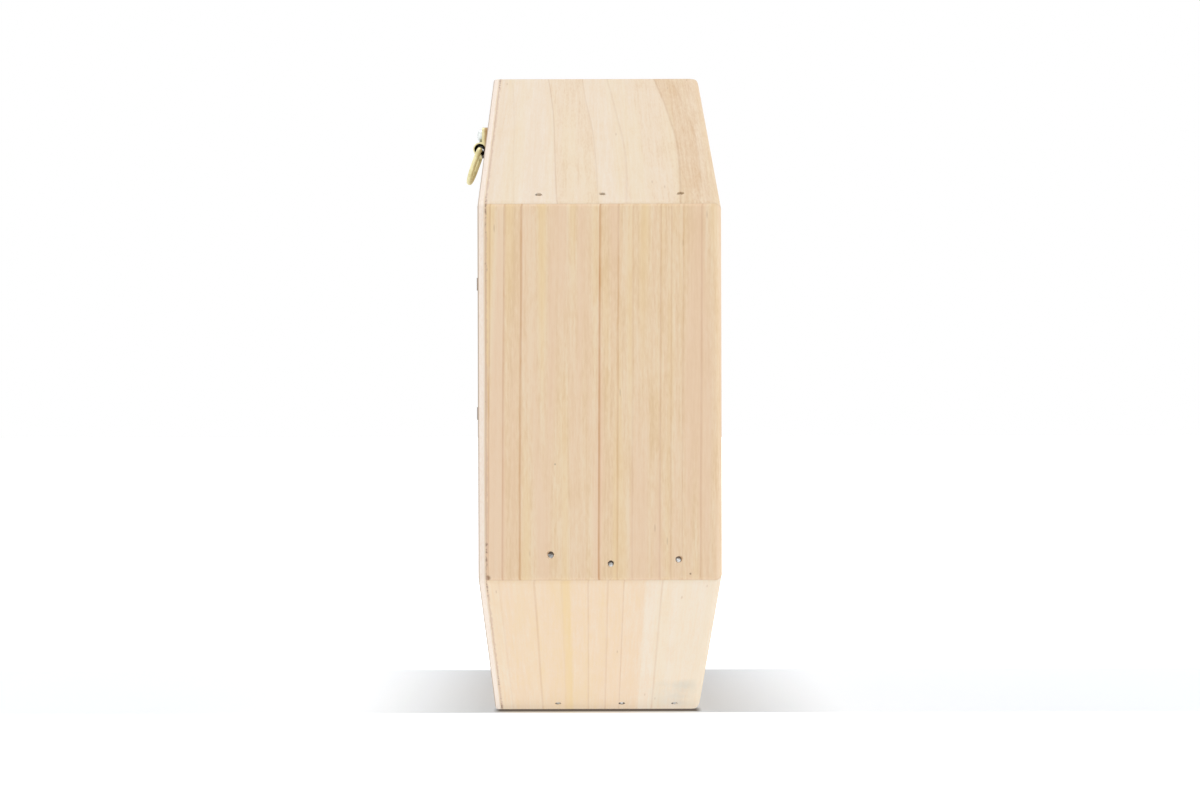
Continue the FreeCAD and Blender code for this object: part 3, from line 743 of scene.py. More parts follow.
@dataclass(frozen=True)
class PlatedMetal:
    """Small pressed or drawn metal parts: bright, with a faint drawn grain and dull patches."""

    name: str
    bright: str
    dull: str
    roughness: float
    metallic: float = 1.0
    grain: Triple = (0.5, 0.5, 4.0)
    patch: Triple = (2.4, 2.4, 2.4)
    # Shade painted into a strap's fold and along the wall, where it is given.
    fold_shade: PaintedFoldShade | None = None

    def material(self) -> Material:
        """Builds the finish: a metal whose colour and gloss vary a little.

        Returns:
            The material.
        """
        recipe = Recipe(bpy.data.materials.new(self.name))
        node = recipe.node
        where = recipe.place()
        patches = recipe.cloud(where, self.patch, 3.0, 1.0)
        # Drawing lines are far finer than 0.5 mm; they are drawn that wide so that they show.
        scratches = recipe.cloud(where, self.grain, 2.0, 5.0)
        colour = node("ValToRGB", (patches,), ramp=((0.42, self.bright), (0.72, self.dull)))
        rough = recipe.weighed(self.roughness - 0.2, (patches, 0.22), (scratches, 0.18))
        bump = node("Bump", {"Height": scratches, "Strength": 0.25, "Distance": 0.03 * MM})
        metal = self.metallic
        if self.fold_shade:
            colour, metal = self.paint_fold_shade(recipe, where, colour, self.fold_shade)
        return recipe.surface(Base_Color=colour, Metallic=metal, Roughness=rough, Normal=bump)

    def paint_fold_shade(self, recipe: Recipe, where: Socket, colour: Socket,
               fold_shade: PaintedFoldShade) -> tuple[Socket, Socket]:
        """Adds the painted shade, alike on the left and the right.

        Args:
            recipe: The material being made.
            where: Coordinates in millimetres.
            colour: The metal's colour before the shade is painted.
            fold_shade: Where the shade is painted.

        Returns:
            The colour, and how far the metal still shows.
        """
        node = recipe.node
        x, y, z = node("SeparateXYZ", (where,)).node.outputs
        # A brown shade is painted along the wall behind.
        near = node("MapRange", (y, *fold_shade.wall, 0.0, fold_shade.wall_strength), **SMOOTHLY)
        aside = node("Math", (x,), **UNSIGNED)
        aside = node("Math", (recipe.weighed(-fold_shade.across, (aside, 1.0)),), **UNSIGNED)
        within = node("MapRange", (aside, fold_shade.half, fold_shade.half - fold_shade.end))
        # A black shadow is painted in the fold and under its lip.
        spot = node("CombineXYZ", (0.0, y, z))
        fold = (0.0, fold_shade.depth, fold_shade.height)
        away = node("VectorMath", (spot, fold), out="Value", operation="DISTANCE")
        inside = node("MapRange", (away, *(fold_shade.radius + edge for edge in fold_shade.inner)))
        under = node("MapRange", (z, *(fold_shade.height - edge for edge in fold_shade.lip)))
        behind = node("MapRange", (y, *(fold_shade.depth - edge for edge in fold_shade.lip_depth)))
        under = node("Math", (under, behind), **TIMES)
        inside = node("Math", (inside, within), **TIMES)
        inside = node("Math", (inside, under), **LARGER)
        for share, tint in ((near, fold_shade.brown), (inside, fold_shade.black)):
            colour = node("Mix", (share, colour, tint), **COLOURS)
        # The painted black shadow keeps the metal's shading, which gives it no pale sheen.
        metal = recipe.weighed(self.metallic, (near, -self.metallic))
        return colour, node("Math", (metal, inside), **LARGER)


@dataclass(frozen=True)
class CutBamboo:
    """Dry bamboo: a smooth straw skin, cut ends dotted with vessels, and a dull brown bore."""

    name: str = "dry_bamboo"
    skin: tuple[str, str] = ("D9BE80", "B98F4E")
    cut: tuple[str, str] = ("EAD9AE", "A87E49")
    bore: str = "7A5831"
    vessel: float = 0.55

    def material(self) -> Material:
        """Builds the finish: one colour for each zone, varied from cane to cane.

        Returns:
            The material.
        """
        recipe = Recipe(bpy.data.materials.new(self.name))
        node = recipe.node
        where = recipe.place()
        tone = node("Attribute", attribute_name="tone", out="Fac")
        streaks = recipe.cloud(where, (0.7, 30.0, 0.7), 3.0)
        skin = recipe.weighed(-0.35, (streaks, 0.7), (tone, 0.8))
        skin = node("ValToRGB", (skin,), ramp=tuple(zip((0.1, 0.9), self.skin)))
        # Vessels are about 0.2 mm across; they are drawn every 0.55 mm so that they show.
        vessels = node("TexVoronoi", {"Vector": where, "Scale": 1.0 / self.vessel}, out="Distance")
        stain = recipe.cloud(where, (2.2, 2.2, 2.2), 3.0, 2.0)
        end = recipe.weighed(0.05, (vessels, -0.5), (stain, 0.6), (tone, 0.35))
        end = node("ValToRGB", (end,), ramp=tuple(zip((0.05, 0.85), self.cut)))
        colour, at_cut = recipe.by_zone(skin, end, self.bore)
        rough = recipe.weighed(0.32, (at_cut, 0.4), (streaks, 0.12))
        height = recipe.weighed(0.0, (streaks, 0.5), (vessels, 0.5))
        bump = node("Bump", {"Height": height, "Strength": 0.4, "Distance": 0.2 * MM})
        return recipe.surface(Base_Color=colour, Roughness=rough, Normal=bump, IOR=1.5)


@dataclass(frozen=True)
class BarkedLog:
    """Sawn branch wood in its bark: rings and drying checks on the end, and grey-brown furrows."""

    name: str = "barked_log"
    wood: tuple[str, str] = ("EBD3AA", "C79C68")
    bark: tuple[str, str, str] = ("3E2C20", "75593F", "A08B70")
    bore: str = "8A6238"
    check: str = "6B4828"
    ring: float = 1.5
    checks: float = 9.0
    check_reach: Pair = (21.0, 18.0)

    def material(self) -> Material:
        """Builds the finish from each point's place about its log's own middle.

        Returns:
            The material.
        """
        recipe = Recipe(bpy.data.materials.new(self.name))
        node = recipe.node
        local = node("Attribute", attribute_name="local", out="Vector")
        tone = node("Attribute", attribute_name="tone", out="Fac")
        where = recipe.place()
        x, _, z = node("SeparateXYZ", (local,)).node.outputs
        square = recipe.weighed(0.0, (x, x), (z, z))
        radius = node("Math", (square,), operation="SQRT")
        angle = node("Math", (z, x), operation="ARCTAN2")
        wobble = recipe.cloud(where, (11.0, 11.0, 11.0), 2.0)
        rings = recipe.weighed(0.0, (radius, 1.0), (wobble, 5.0))
        rings = node("Math", (rings, self.ring), operation="WRAP")
        late = node("MapRange", (rings, 0.25 * self.ring, self.ring))
        saw = recipe.cloud(where, (0.8, 0.8, 6.0), 3.0, 3.0)
        wood = recipe.weighed(-0.25, (late, 0.35), (saw, 0.5), (wobble, 0.3), (tone, 0.25))
        wood = node("ValToRGB", (wood,), ramp=tuple(zip((0.0, 0.8), self.wood)))
        # Drying checks: thin dark wedges from the middle, a few round the log.
        around = recipe.weighed(0.0, (angle, self.checks / FULL_TURN), (tone, 7.0), (wobble, 0.25))
        around = node("Math", (around, 0.5), operation="PINGPONG")
        width = recipe.weighed(0.0, (around, 1.0), (saw, 0.03))
        check = node("MapRange", (width, 0.035, 0.015, 0.0, 0.7), **SMOOTHLY)
        reach = recipe.weighed(0.0, (radius, 1.0), (wobble, 14.0))
        early = node("MapRange", (reach, *self.check_reach), **SMOOTHLY)
        check = node("Math", (check, early), **TIMES)
        wood = node("Mix", (check, wood, self.check), **COLOURS)
        # Plates of bark, about 2.6 mm wide and 9 mm long, with dark furrows between them.
        plates = recipe.cloud(where, (2.6, 9.0, 2.6), 4.0, 1.0)
        bark = node("ValToRGB", (plates,), ramp=tuple(zip((0.34, 0.5, 0.68), self.bark)))
        colour, _ = recipe.by_zone(bark, wood, self.bore)
        height = recipe.weighed(0.0, (plates, 1.0), (check, -0.6), (saw, 0.15))
        bump = node("Bump", {"Height": height, "Strength": 0.6, "Distance": 0.5 * MM})
        return recipe.surface(Base_Color=colour, Roughness=0.72, Normal=bump, IOR=1.5)


@dataclass(frozen=True)
class ConeScale:
    """Weathered pine cone: dark inside, brown scales, and paler ridged tips with a darker point.

    The colours run from the core out to a scale's point.
    """

    name: str = "pine_cone_scales"
    colours: tuple[str, str, str, str] = ("462C1C", "94683F", "C69E72", "84592F")

    def material(self) -> Material:
        """Builds the finish from how far out on its scale each point lies.

        Returns:
            The material.
        """
        recipe = Recipe(bpy.data.materials.new(self.name))
        node = recipe.node
        where = recipe.place()
        reach, tone = (node("Attribute", attribute_name=name, out="Fac")
                       for name in ("reach", "tone"))
        fibre = recipe.cloud(where, (1.2, 1.2, 1.2), 4.0)
        share = recipe.weighed(-0.3, (reach, 1.0), (fibre, 0.35), (tone, 0.25))
        colour = node("ValToRGB", (share,), ramp=tuple(zip((0.05, 0.5, 0.86, 1.0), self.colours)))
        bump = node("Bump", {"Height": fibre, "Strength": 0.7, "Distance": 0.4 * MM})
        rough = recipe.weighed(0.5, (fibre, 0.3))
        return recipe.surface(Base_Color=colour, Roughness=rough, Normal=bump, IOR=1.5)


# Opposite corners repeat: how far each nail strays from its mark, to the front and from the corner.
NAIL_STRAY = (
    ((0.9, 0.8), (2.6, -2.7), (-2.5, -1.2)),
    ((1.9, -0.5), (9.7, -0.4), (2.4, -0.6)),
    ((-3.9, -1.8), (-0.3, -1.0), (-1.0, -0.6)),
)


@dataclass
class CaseBoard:
    """A mitred board of the case, laid out in the right-hand place and turned to its own."""

    number: int
    finish: PlanedFir
    front_round: float = 4.6
    inner_round: float = 0.6
    rear_round: float = 0.15
    worn: float = 0.8
    nail_marks: Triple = (25.0, 47.0, 79.0)
    nail_from_corner: float = 9.8
    # A nail's hole, the lip raised round it and the shade painted dark in and round it.
    hole: float = 1.25
    hole_edge: float = 0.2
    hole_depth: float = 1.4
    raggedness: float = 0.22
    lip: float = 0.1
    lip_width: float = 0.9
    rim_reach: float = -0.1
    rim_blur: float = 0.2
    hole_shade_colour: str = "1C1511"
    rim_strength: float = 0.9
    # How deep the back edge is torn and the face is planed in waves, and over what lengths.
    torn: float = 0.4
    torn_depths: Pair = (4.3, 3.0)
    torn_length: float = 6.0
    waviness: float = 0.06
    wave_lengths: Pair = (30.0, 25.0)
    # Distance between grid lines on the outer face, and the finer one within reach of a nail.
    step: float = 3.0
    fine_step: float = 0.2
    fine_reach: float = 2.6
    # Extra grid lines from each end, for the worn corner.
    end_lines: tuple[float, ...] = (0.3, 0.7, 1.2, 1.8)

    def nails(self) -> Array:
        """Where the nails enter at the leading end.

        Returns:
            Millimetres from the back and along the board, one row for each nail.
        """
        stray = np.array(NAIL_STRAY[self.number % len(NAIL_STRAY)])
        depth = REAR + np.array(self.nail_marks) + stray[:, 0]
        return joined(depth, SIDE / 2 - self.nail_from_corner - stray[:, 1])

    def section(self) -> tuple[Array, Array]:
        """The board's cross-section: flat faces joined by round arrises.

        Returns:
            Points of outward distance and depth from the back, and how far each faces outward.
        """
        front, inner, rear = self.front_round, self.inner_round, self.rear_round
        outer = spaced(REAR + rear, FRONT - front, self.step, self.nails()[:, 0],
                       self.fine_reach, self.fine_step)
        broad_cos, broad_sin = circle(np.linspace(0.0, QUARTER_TURN, 10)[1:-1])
        small_cos, small_sin = circle(np.linspace(0.0, QUARTER_TURN, 4)[1:-1])
        loop = np.concatenate([joined(*part) for part in (
            (APOTHEM, outer, 1.0),
            (APOTHEM - front * (1 - broad_cos), FRONT - front * (1 - broad_sin), broad_cos),
            (np.linspace(APOTHEM - front, INNER + inner, 6), FRONT, 0.0),
            (INNER + inner * (1 - small_sin), FRONT - inner * (1 - small_cos), 0.0),
            (INNER, np.linspace(FRONT - inner, REAR, 24), 0.0),
            (np.linspace(INNER + self.step, APOTHEM - rear, 4), REAR, 0.0),
            (APOTHEM - rear * (1 - small_sin), REAR + rear * (1 - small_cos), small_sin),
        )])
        return loop[:, :2], loop[:, 2]

    def grid(self) -> Array:
        """Carries the section along the board, between its two mitre planes.

        A point's place along the board is a share of its outward distance times tan 30 degrees,
        so the ends stay on the mitres. Nail holes and torn edges draw the outer face in.

        Returns:
            Points of shape (rows, columns, 3), in the right-hand board's place.
        """
        loop, outer = self.section()
        nails = self.nails()
        half = SIDE / 2
        along = spaced(-half, half, self.step, nails[:, 1], self.fine_reach, self.fine_step)
        ends = np.array(self.end_lines)
        along = np.sort(np.concatenate((along, ends - half, half - ends)))
        share = (along / half)[:, None]
        x, depth = loop[None, :, 0], loop[None, :, 1]
        z = share * half
        draw_in = np.zeros(np.broadcast_shapes(z.shape, depth.shape))
        for number, (nail_depth, nail_along) in enumerate(nails):
            # A driven nail tears its hole's edge, so its radius changes with the angle round it.
            angle = np.arctan2(z - nail_along, depth - nail_depth)
            ragged = ripple(HOLE_SEED + 10 * self.number + number, *circle(angle), waves=6)
            gap = np.hypot(depth - nail_depth, z - nail_along) / (1.0 + self.raggedness * ragged)
            edge = self.hole + self.hole_edge
            draw_in += self.hole_depth * smooth(edge, self.hole - self.hole_edge, gap)
            draw_in -= self.lip * smooth(self.hole + self.lip_width, edge, gap)
        # The back edge is torn in short stretches, and the face is planed in long waves.
        torn = 0.5 + 0.5 * ripple(TORN_SEED + self.number, z / self.torn_length)
        draw_in += self.torn * torn * smooth(*self.torn_depths, depth)
        waves = (z / self.wave_lengths[0], depth / self.wave_lengths[1])
        draw_in += self.waviness * ripple(WAVES_SEED + self.number, *waves, waves=4)
        x = x - np.maximum(draw_in, 0.0) * outer
        rings = joined(x, -depth, share * x * TAN30)
        first, last = (np.broadcast_to(ring.mean(axis=0), (1, *ring.shape))
                       for ring in (rings[0], rings[-1]))
        return np.concatenate((first, rings, last))

    def build(self) -> None:
        """Makes the board and dresses it, with shade painted dark in and round each nail's hole."""
        node = f"frame_board_{BOARDS[self.number]}"
        radius = self.hole + self.rim_reach
        hole_shades = tuple(Mark(*nail, radius, self.rim_blur, self.hole_shade_colour, self.rim_strength)
                     for nail in self.nails().tolist())
        finish = replace(self.finish, marks=self.finish.marks + hole_shades)
        shell = Shell()
        shell.add(worn_corners(turned(self.grid(), BOARD_TURN * self.number), self.worn))
        shell.piece(f"{node}_planed", (node,), "case_fir", finish.material())


@dataclass
class CornerNails:
    """The nails at all six corners, their heads sunk into the boards."""

    boards: Sequence[CaseBoard]
    finish: PlatedMetal
    sink: float = 0.62
    columns: int = 24
    # Radius and distance below the top of the head, from the head's middle to the point.
    profile: tuple[Pair, ...] = (
        (0.0, 0.05), (0.45, 0.0), (0.8, 0.02), (0.94, 0.1), (1.0, 0.3), (1.0, 0.65),
        (0.95, 0.8), (0.8, 0.9), (0.8, 12.0), (0.8, 30.4), (0.0, 32.0),
    )
    # Only the head is wider than the shank, and only its top is dented.
    shank: float = 0.82
    top: float = 0.2
    unevenness: float = 0.16
    dent: float = 0.25
    twist: float = 0.35

    def build(self) -> None:
        """Makes every nail: a turned profile, slightly square and dented at the head.

        On the squarish circle of the head, the fourth powers of the two coordinates add up to 1.
        """
        radius, drop = (column[:, None] for column in np.array(self.profile).T)
        angle = round_angles(self.columns)
        cosine, sine = circle(angle)
        square = (cosine ** 4 + sine ** 4) ** -0.25
        into = np.array((-COS30, 0.0, SIN30))
        side = np.array((0.0, 1.0, 0.0))
        up = np.cross(into, side)
        shell = Shell()
        for board in self.boards:
            for number, (depth, along) in enumerate(board.nails()):
                seed = 10 * board.number + number
                uneven = 0.95 + self.unevenness * ripple(HEAD_SEED + seed, cosine, sine, waves=5)
                ring = radius * np.where(radius > self.shank, uneven * square, 1.0)
                dent = self.dent * ripple(seed, ring * cosine, ring * sine) * (drop < self.top)
                middle = np.array((APOTHEM, -depth, along)) + into * self.sink
                across, upward = circle(angle + self.twist * math.sin(seed))
                points = (middle + (ring * across)[..., None] * side
                          + (ring * upward)[..., None] * up
                          + (drop + np.maximum(dent, 0.0))[..., None] * into)
                shell.add(turned(points, BOARD_TURN * board.number))
        shell.piece("corner_nails_steel", ("corner_nails",), "steel", self.finish.material(),
                    sharp=35.0)


def worn_corners(points: Array, worn: float) -> Array:
    """Draws the hexagon's corners in to a circle, so that they are rounded off.

    Args:
        points: Points about the case's axis.
        worn: How far a sharp corner is drawn in. The topmost one is drawn in twice as far.

    Returns:
        The points, none further out than the circle.
    """
    x, _, z = np.moveaxis(points, -1, 0)
    limit = SIDE - worn * np.where(z > 0.9 * SIDE, 2.0, 1.0)
    share = np.minimum(1.0, limit / np.maximum(np.hypot(x, z), 1.0))
    return points * joined(share, 1.0, share)


def plate_grid(outline: Array, stations: Sequence[Pair],
               steps: int) -> Array:
    """A plate: its outline drawn in by an inset at each depth, and closed by its middle.

    Args:
        outline: Corners of a convex outline in x and z, in order, anticlockwise.
        stations: Inset and depth from the back, ring by ring.
        steps: Points on each side of the outline.

    Returns:
        Points of shape (stations + 2, corners * steps, 3).
    """
    edges = np.roll(outline, -1, axis=0) - outline
    inward = joined(-edges[:, 1], edges[:, 0])
    inward /= np.linalg.norm(inward, axis=1)[:, None]
    before = np.roll(inward, 1, axis=0)
    shift = (inward + before) / (1.0 + (inward * before).sum(axis=1))[:, None]
    share = np.linspace(0.0, 1.0, steps, endpoint=False)[None, :, None]
    inset, depth = np.array(stations).T
    corners = outline[None] + inset[:, None, None] * shift[None]
    ahead = np.roll(corners, -1, axis=1)
    rings = corners[:, :, None] * (1.0 - share) + ahead[:, :, None] * share
    rings = rings.reshape(len(inset), -1, 2)
    middle = np.broadcast_to(outline.mean(axis=0), (1, *rings.shape[1:]))
    rings = np.concatenate((middle, rings, middle))
    depth = np.concatenate((depth[:1], depth, depth[-1:]))[:, None]
    return joined(rings[..., 0], -depth, rings[..., 1])


def rounded(radius: float, depth: float, sign: float, count: int = 6) -> list[Pair]:
    """Stations of a round arris that ends at a depth.

    Args:
        radius: The arris's radius.
        depth: Depth of the face that it ends on.
        sign: 1 where that face is in front, -1 where it is behind.
        count: How many stations.

    Returns:
        Insets and depths, from the side to the face.
    """
    cosine, sine = circle(np.linspace(0.0, QUARTER_TURN, count))
    return list(zip(radius * (1 - cosine), depth - sign * radius * (1 - sine)))


@dataclass
class BackPanel:
    """The plywood back, flush with the boards and sanded round at its outer rim."""

    finish: Plywood
    rim: float = 2.4
    rim_rings: int = 9
    front_rim: float = 0.15
    front_rings: int = 4
    # The first ring on the flat rear face lies this far in from the rim.
    flat: float = 0.4
    worn: float = 0.8
    insets: tuple[float, ...] = (100.0, 70.0, 40.0, 15.0)
    steps: int = 150
    scorched: int = 4

    def build(self) -> None:
        """Makes the back as rings of one hexagon, whose inset grows as a round rim's does."""
        outline = SIDE * joined(*circle(np.radians(np.arange(30.0, 390.0, BOARD_TURN))))
        stations = [(inset, REAR) for inset in self.insets]
        stations += rounded(self.front_rim, REAR, 1.0, self.front_rings)[::-1]
        stations += rounded(self.rim, 0.0, -1.0, self.rim_rings) + [(self.rim + self.flat, 0.0)]
        # The scorched rim is the last of the rear arris, just before the flat.
        flat = len(stations)
        stations += [(inset, 0.0) for inset in reversed(self.insets)]
        grid = plate_grid(outline, stations, self.steps)
        rim = np.zeros((len(grid), 1))
        rim[flat - self.scorched:flat] = 1.0
        shell = Shell()
        shell.add(worn_corners(grid, self.worn), rim=rim)
        shell.piece("back_panel_plywood", ("back_panel",), "plywood", self.finish.material())


@dataclass
class Dividers:
    """Three thin boards from the middle to every other corner, pointed at both ends."""

    places: tuple[tuple[str, float], ...] = (
        ("upper_right", 30.0), ("upper_left", 150.0), ("lower", 270.0),
    )
    fit: float = 0.1
    front: float = FRONT - 5.0
    arris: float = 0.7
    depths: tuple[float, ...] = (REAR, 20.0, 40.0, 60.0, 80.0)
    steps: int = 12
    colours: tuple[str, ...] = ("F0DFC4", "E8D2B0", "DFC298", "BE9464", "E6CFB2", "E8D0A4")
    lean: float = 0.02

    def build(self) -> None:
        """Makes each divider and dresses it with its own grain."""
        half = DIVIDER / 2
        point = half * TAN30
        inner, outer = self.fit, INNER / COS30 - self.fit
        outline = np.array((
            (inner, 0.0), (inner + point, -half), (outer - point, -half),
            (outer, 0.0), (outer - point, half), (inner + point, half),
        ))
        stations = [(0.0, depth) for depth in self.depths] + rounded(self.arris, self.front, 1.0)
        grid = plate_grid(outline, stations, self.steps)
        for number, (name, degrees) in enumerate(self.places):
            lines = grown_lines(DIVIDER_LINES_SEED + number, (0.0, 100.0))
            # A divider's grain runs out from the middle, a quarter turn from a board's.
            finish = PlanedFir(f"divider_fir_{name}", degrees - 90.0, lines, self.colours,
                               self.lean, seed=11.0 + number)
            shell = Shell()
            shell.add(turned(grid, degrees))
            shell.piece(f"divider_{name}_planed", (f"divider_{name}",), "divider_fir",
                        finish.material(), sharp=35.0)


def cell_places(rows: int, degrees: float) -> tuple[Array, float]:
    """Middles of the round things in one cell, on a 60 degree lattice that just fills it.

    Args:
        rows: How many rows of that many things.
        degrees: Turn from the top cell to this one.

    Returns:
        Points of shape (rows, rows, 3) at the case's back, and the lattice's pitch.
    """
    pitch = (INNER - DIVIDER / 2) / (1.0 + (rows - 1) * COS30)
    along_board, along_divider = np.array((COS30, 0.0, SIN30)), np.array((COS30, 0.0, -SIN30))
    first = np.array((-APOTHEM, 0.0, SIDE / 2))
    first = first + along_board * (DIVIDER / 2 / COS30) + along_divider * (THICKNESS / COS30)
    first = first + (along_board + along_divider) * pitch * TAN30
    step = np.arange(rows) * pitch
    lattice = first + step[None, :, None] * along_board + step[:, None, None] * along_divider
    return turned(lattice, degrees), pitch


@dataclass
class Canes:
    """Bamboo canes, closed at the back: oval, a little uneven, and sawn not quite square."""

    finish: CutBamboo
    cell: float = 120.0
    rows: int = 11
    gap: float = 0.35
    wall: float = 2.85
    setback: float = 6.0
    stagger: float = 2.5
    columns: int = 22
    # Spread of the canes' skins and bores about their usual radius.
    skins: Pair = (0.93, 0.985)
    bores: Pair = (0.82, 1.25)
    # How far the skin and the bore are oval, and how far they are three-sided.
    skin_shape: Pair = (0.016, 0.012)
    bore_shape: Pair = (0.06, 0.05)
    # Millimetres that a sawn end is out of square, on the part of the length that it tilts.
    askew: float = 0.4
    askew_from: float = 0.9
    # Share of the skin's radius, share of the bore's radius and share of the length.
    profile: tuple[Triple, ...] = (
        (0.0, 0.0, 0.0), (1.0, 0.0, 0.0), (1.0, 0.0, 0.3), (0.99, 0.0, 0.52), (1.015, 0.0, 0.55),
        (0.985, 0.0, 0.57), (1.0, 0.0, 0.6), (1.0, 0.0, 0.9), (1.0, 0.0, 0.996), (0.97, 0.0, 1.0),
        (0.5, 0.5, 1.0), (0.0, 1.06, 1.0), (0.0, 1.0, 0.994), (0.0, 1.0, 0.85), (0.0, 0.96, 0.5),
        (0.0, 0.92, 0.16), (0.0, 0.0, 0.15),
    )
    # Rows of the profile on the skin, on the sawn end and in the bore.
    zone_rows: tuple[int, int, int] = (9, 3, 5)

    def row(self, number: int) -> Shell:
        """Makes one row of canes, each a closed tube: back, skin, sawn end, bore and bore's end.

        A ring's radius is a circle's, with two and three waves round it.

        Args:
            number: The row, from 0.

        Returns:
            The row's grids.
        """
        places, pitch = cell_places(self.rows, self.cell)
        count = (self.rows, 1, 1)
        middle_x, _, middle_z = (column.reshape(count) for column in places[number].T)
        draw = np.random.default_rng(CANE_SEED + number)
        index = np.arange(self.rows).reshape(count) + self.rows * number
        length = FRONT - REAR - self.setback - self.stagger * ((GOLDEN * index) % 1.0)
        radius = (pitch - self.gap) / 2
        skin = radius * draw.uniform(*self.skins, count)
        bore = (radius - self.wall) * draw.uniform(*self.bores, count)
        of_skin, of_bore, of_length = (
            column.reshape(1, -1, 1) for column in np.array(self.profile).T
        )
        angle = round_angles(self.columns).reshape(1, 1, -1)
        phase = draw.uniform(0.0, FULL_TURN, (3, *count))
        oval, lump = (
            1.0 + two * np.cos(2 * angle + first) + three * np.cos(3 * angle + second)
            for (two, three), first, second in (
                (self.skin_shape, phase[0], phase[1]), (self.bore_shape, phase[2], phase[0]),
            )
        )
        ring = of_skin * skin * oval + of_bore * bore * lump
        sawn = of_length > self.askew_from
        tilt = self.askew * np.cos(angle + phase[1]) * ring / radius * sawn
        cosine, sine = circle(angle)
        grid = joined(middle_x + ring * cosine, -REAR - length * of_length + tilt,
                      middle_z + ring * sine)
        zone = np.repeat([zone.value for zone in Zone], self.zone_rows).reshape(1, -1, 1)
        shell = Shell()
        shell.add(grid, zone=zone, tone=draw.uniform(0.0, 1.0, count))
        return shell

    def build(self) -> None:
        """Makes every row and dresses it."""
        material = self.finish.material()
        for number in range(self.rows):
            node = f"cane_row_{number + 1:02d}"
            self.row(number).piece(f"{node}_bamboo", (node,), "bamboo", material)


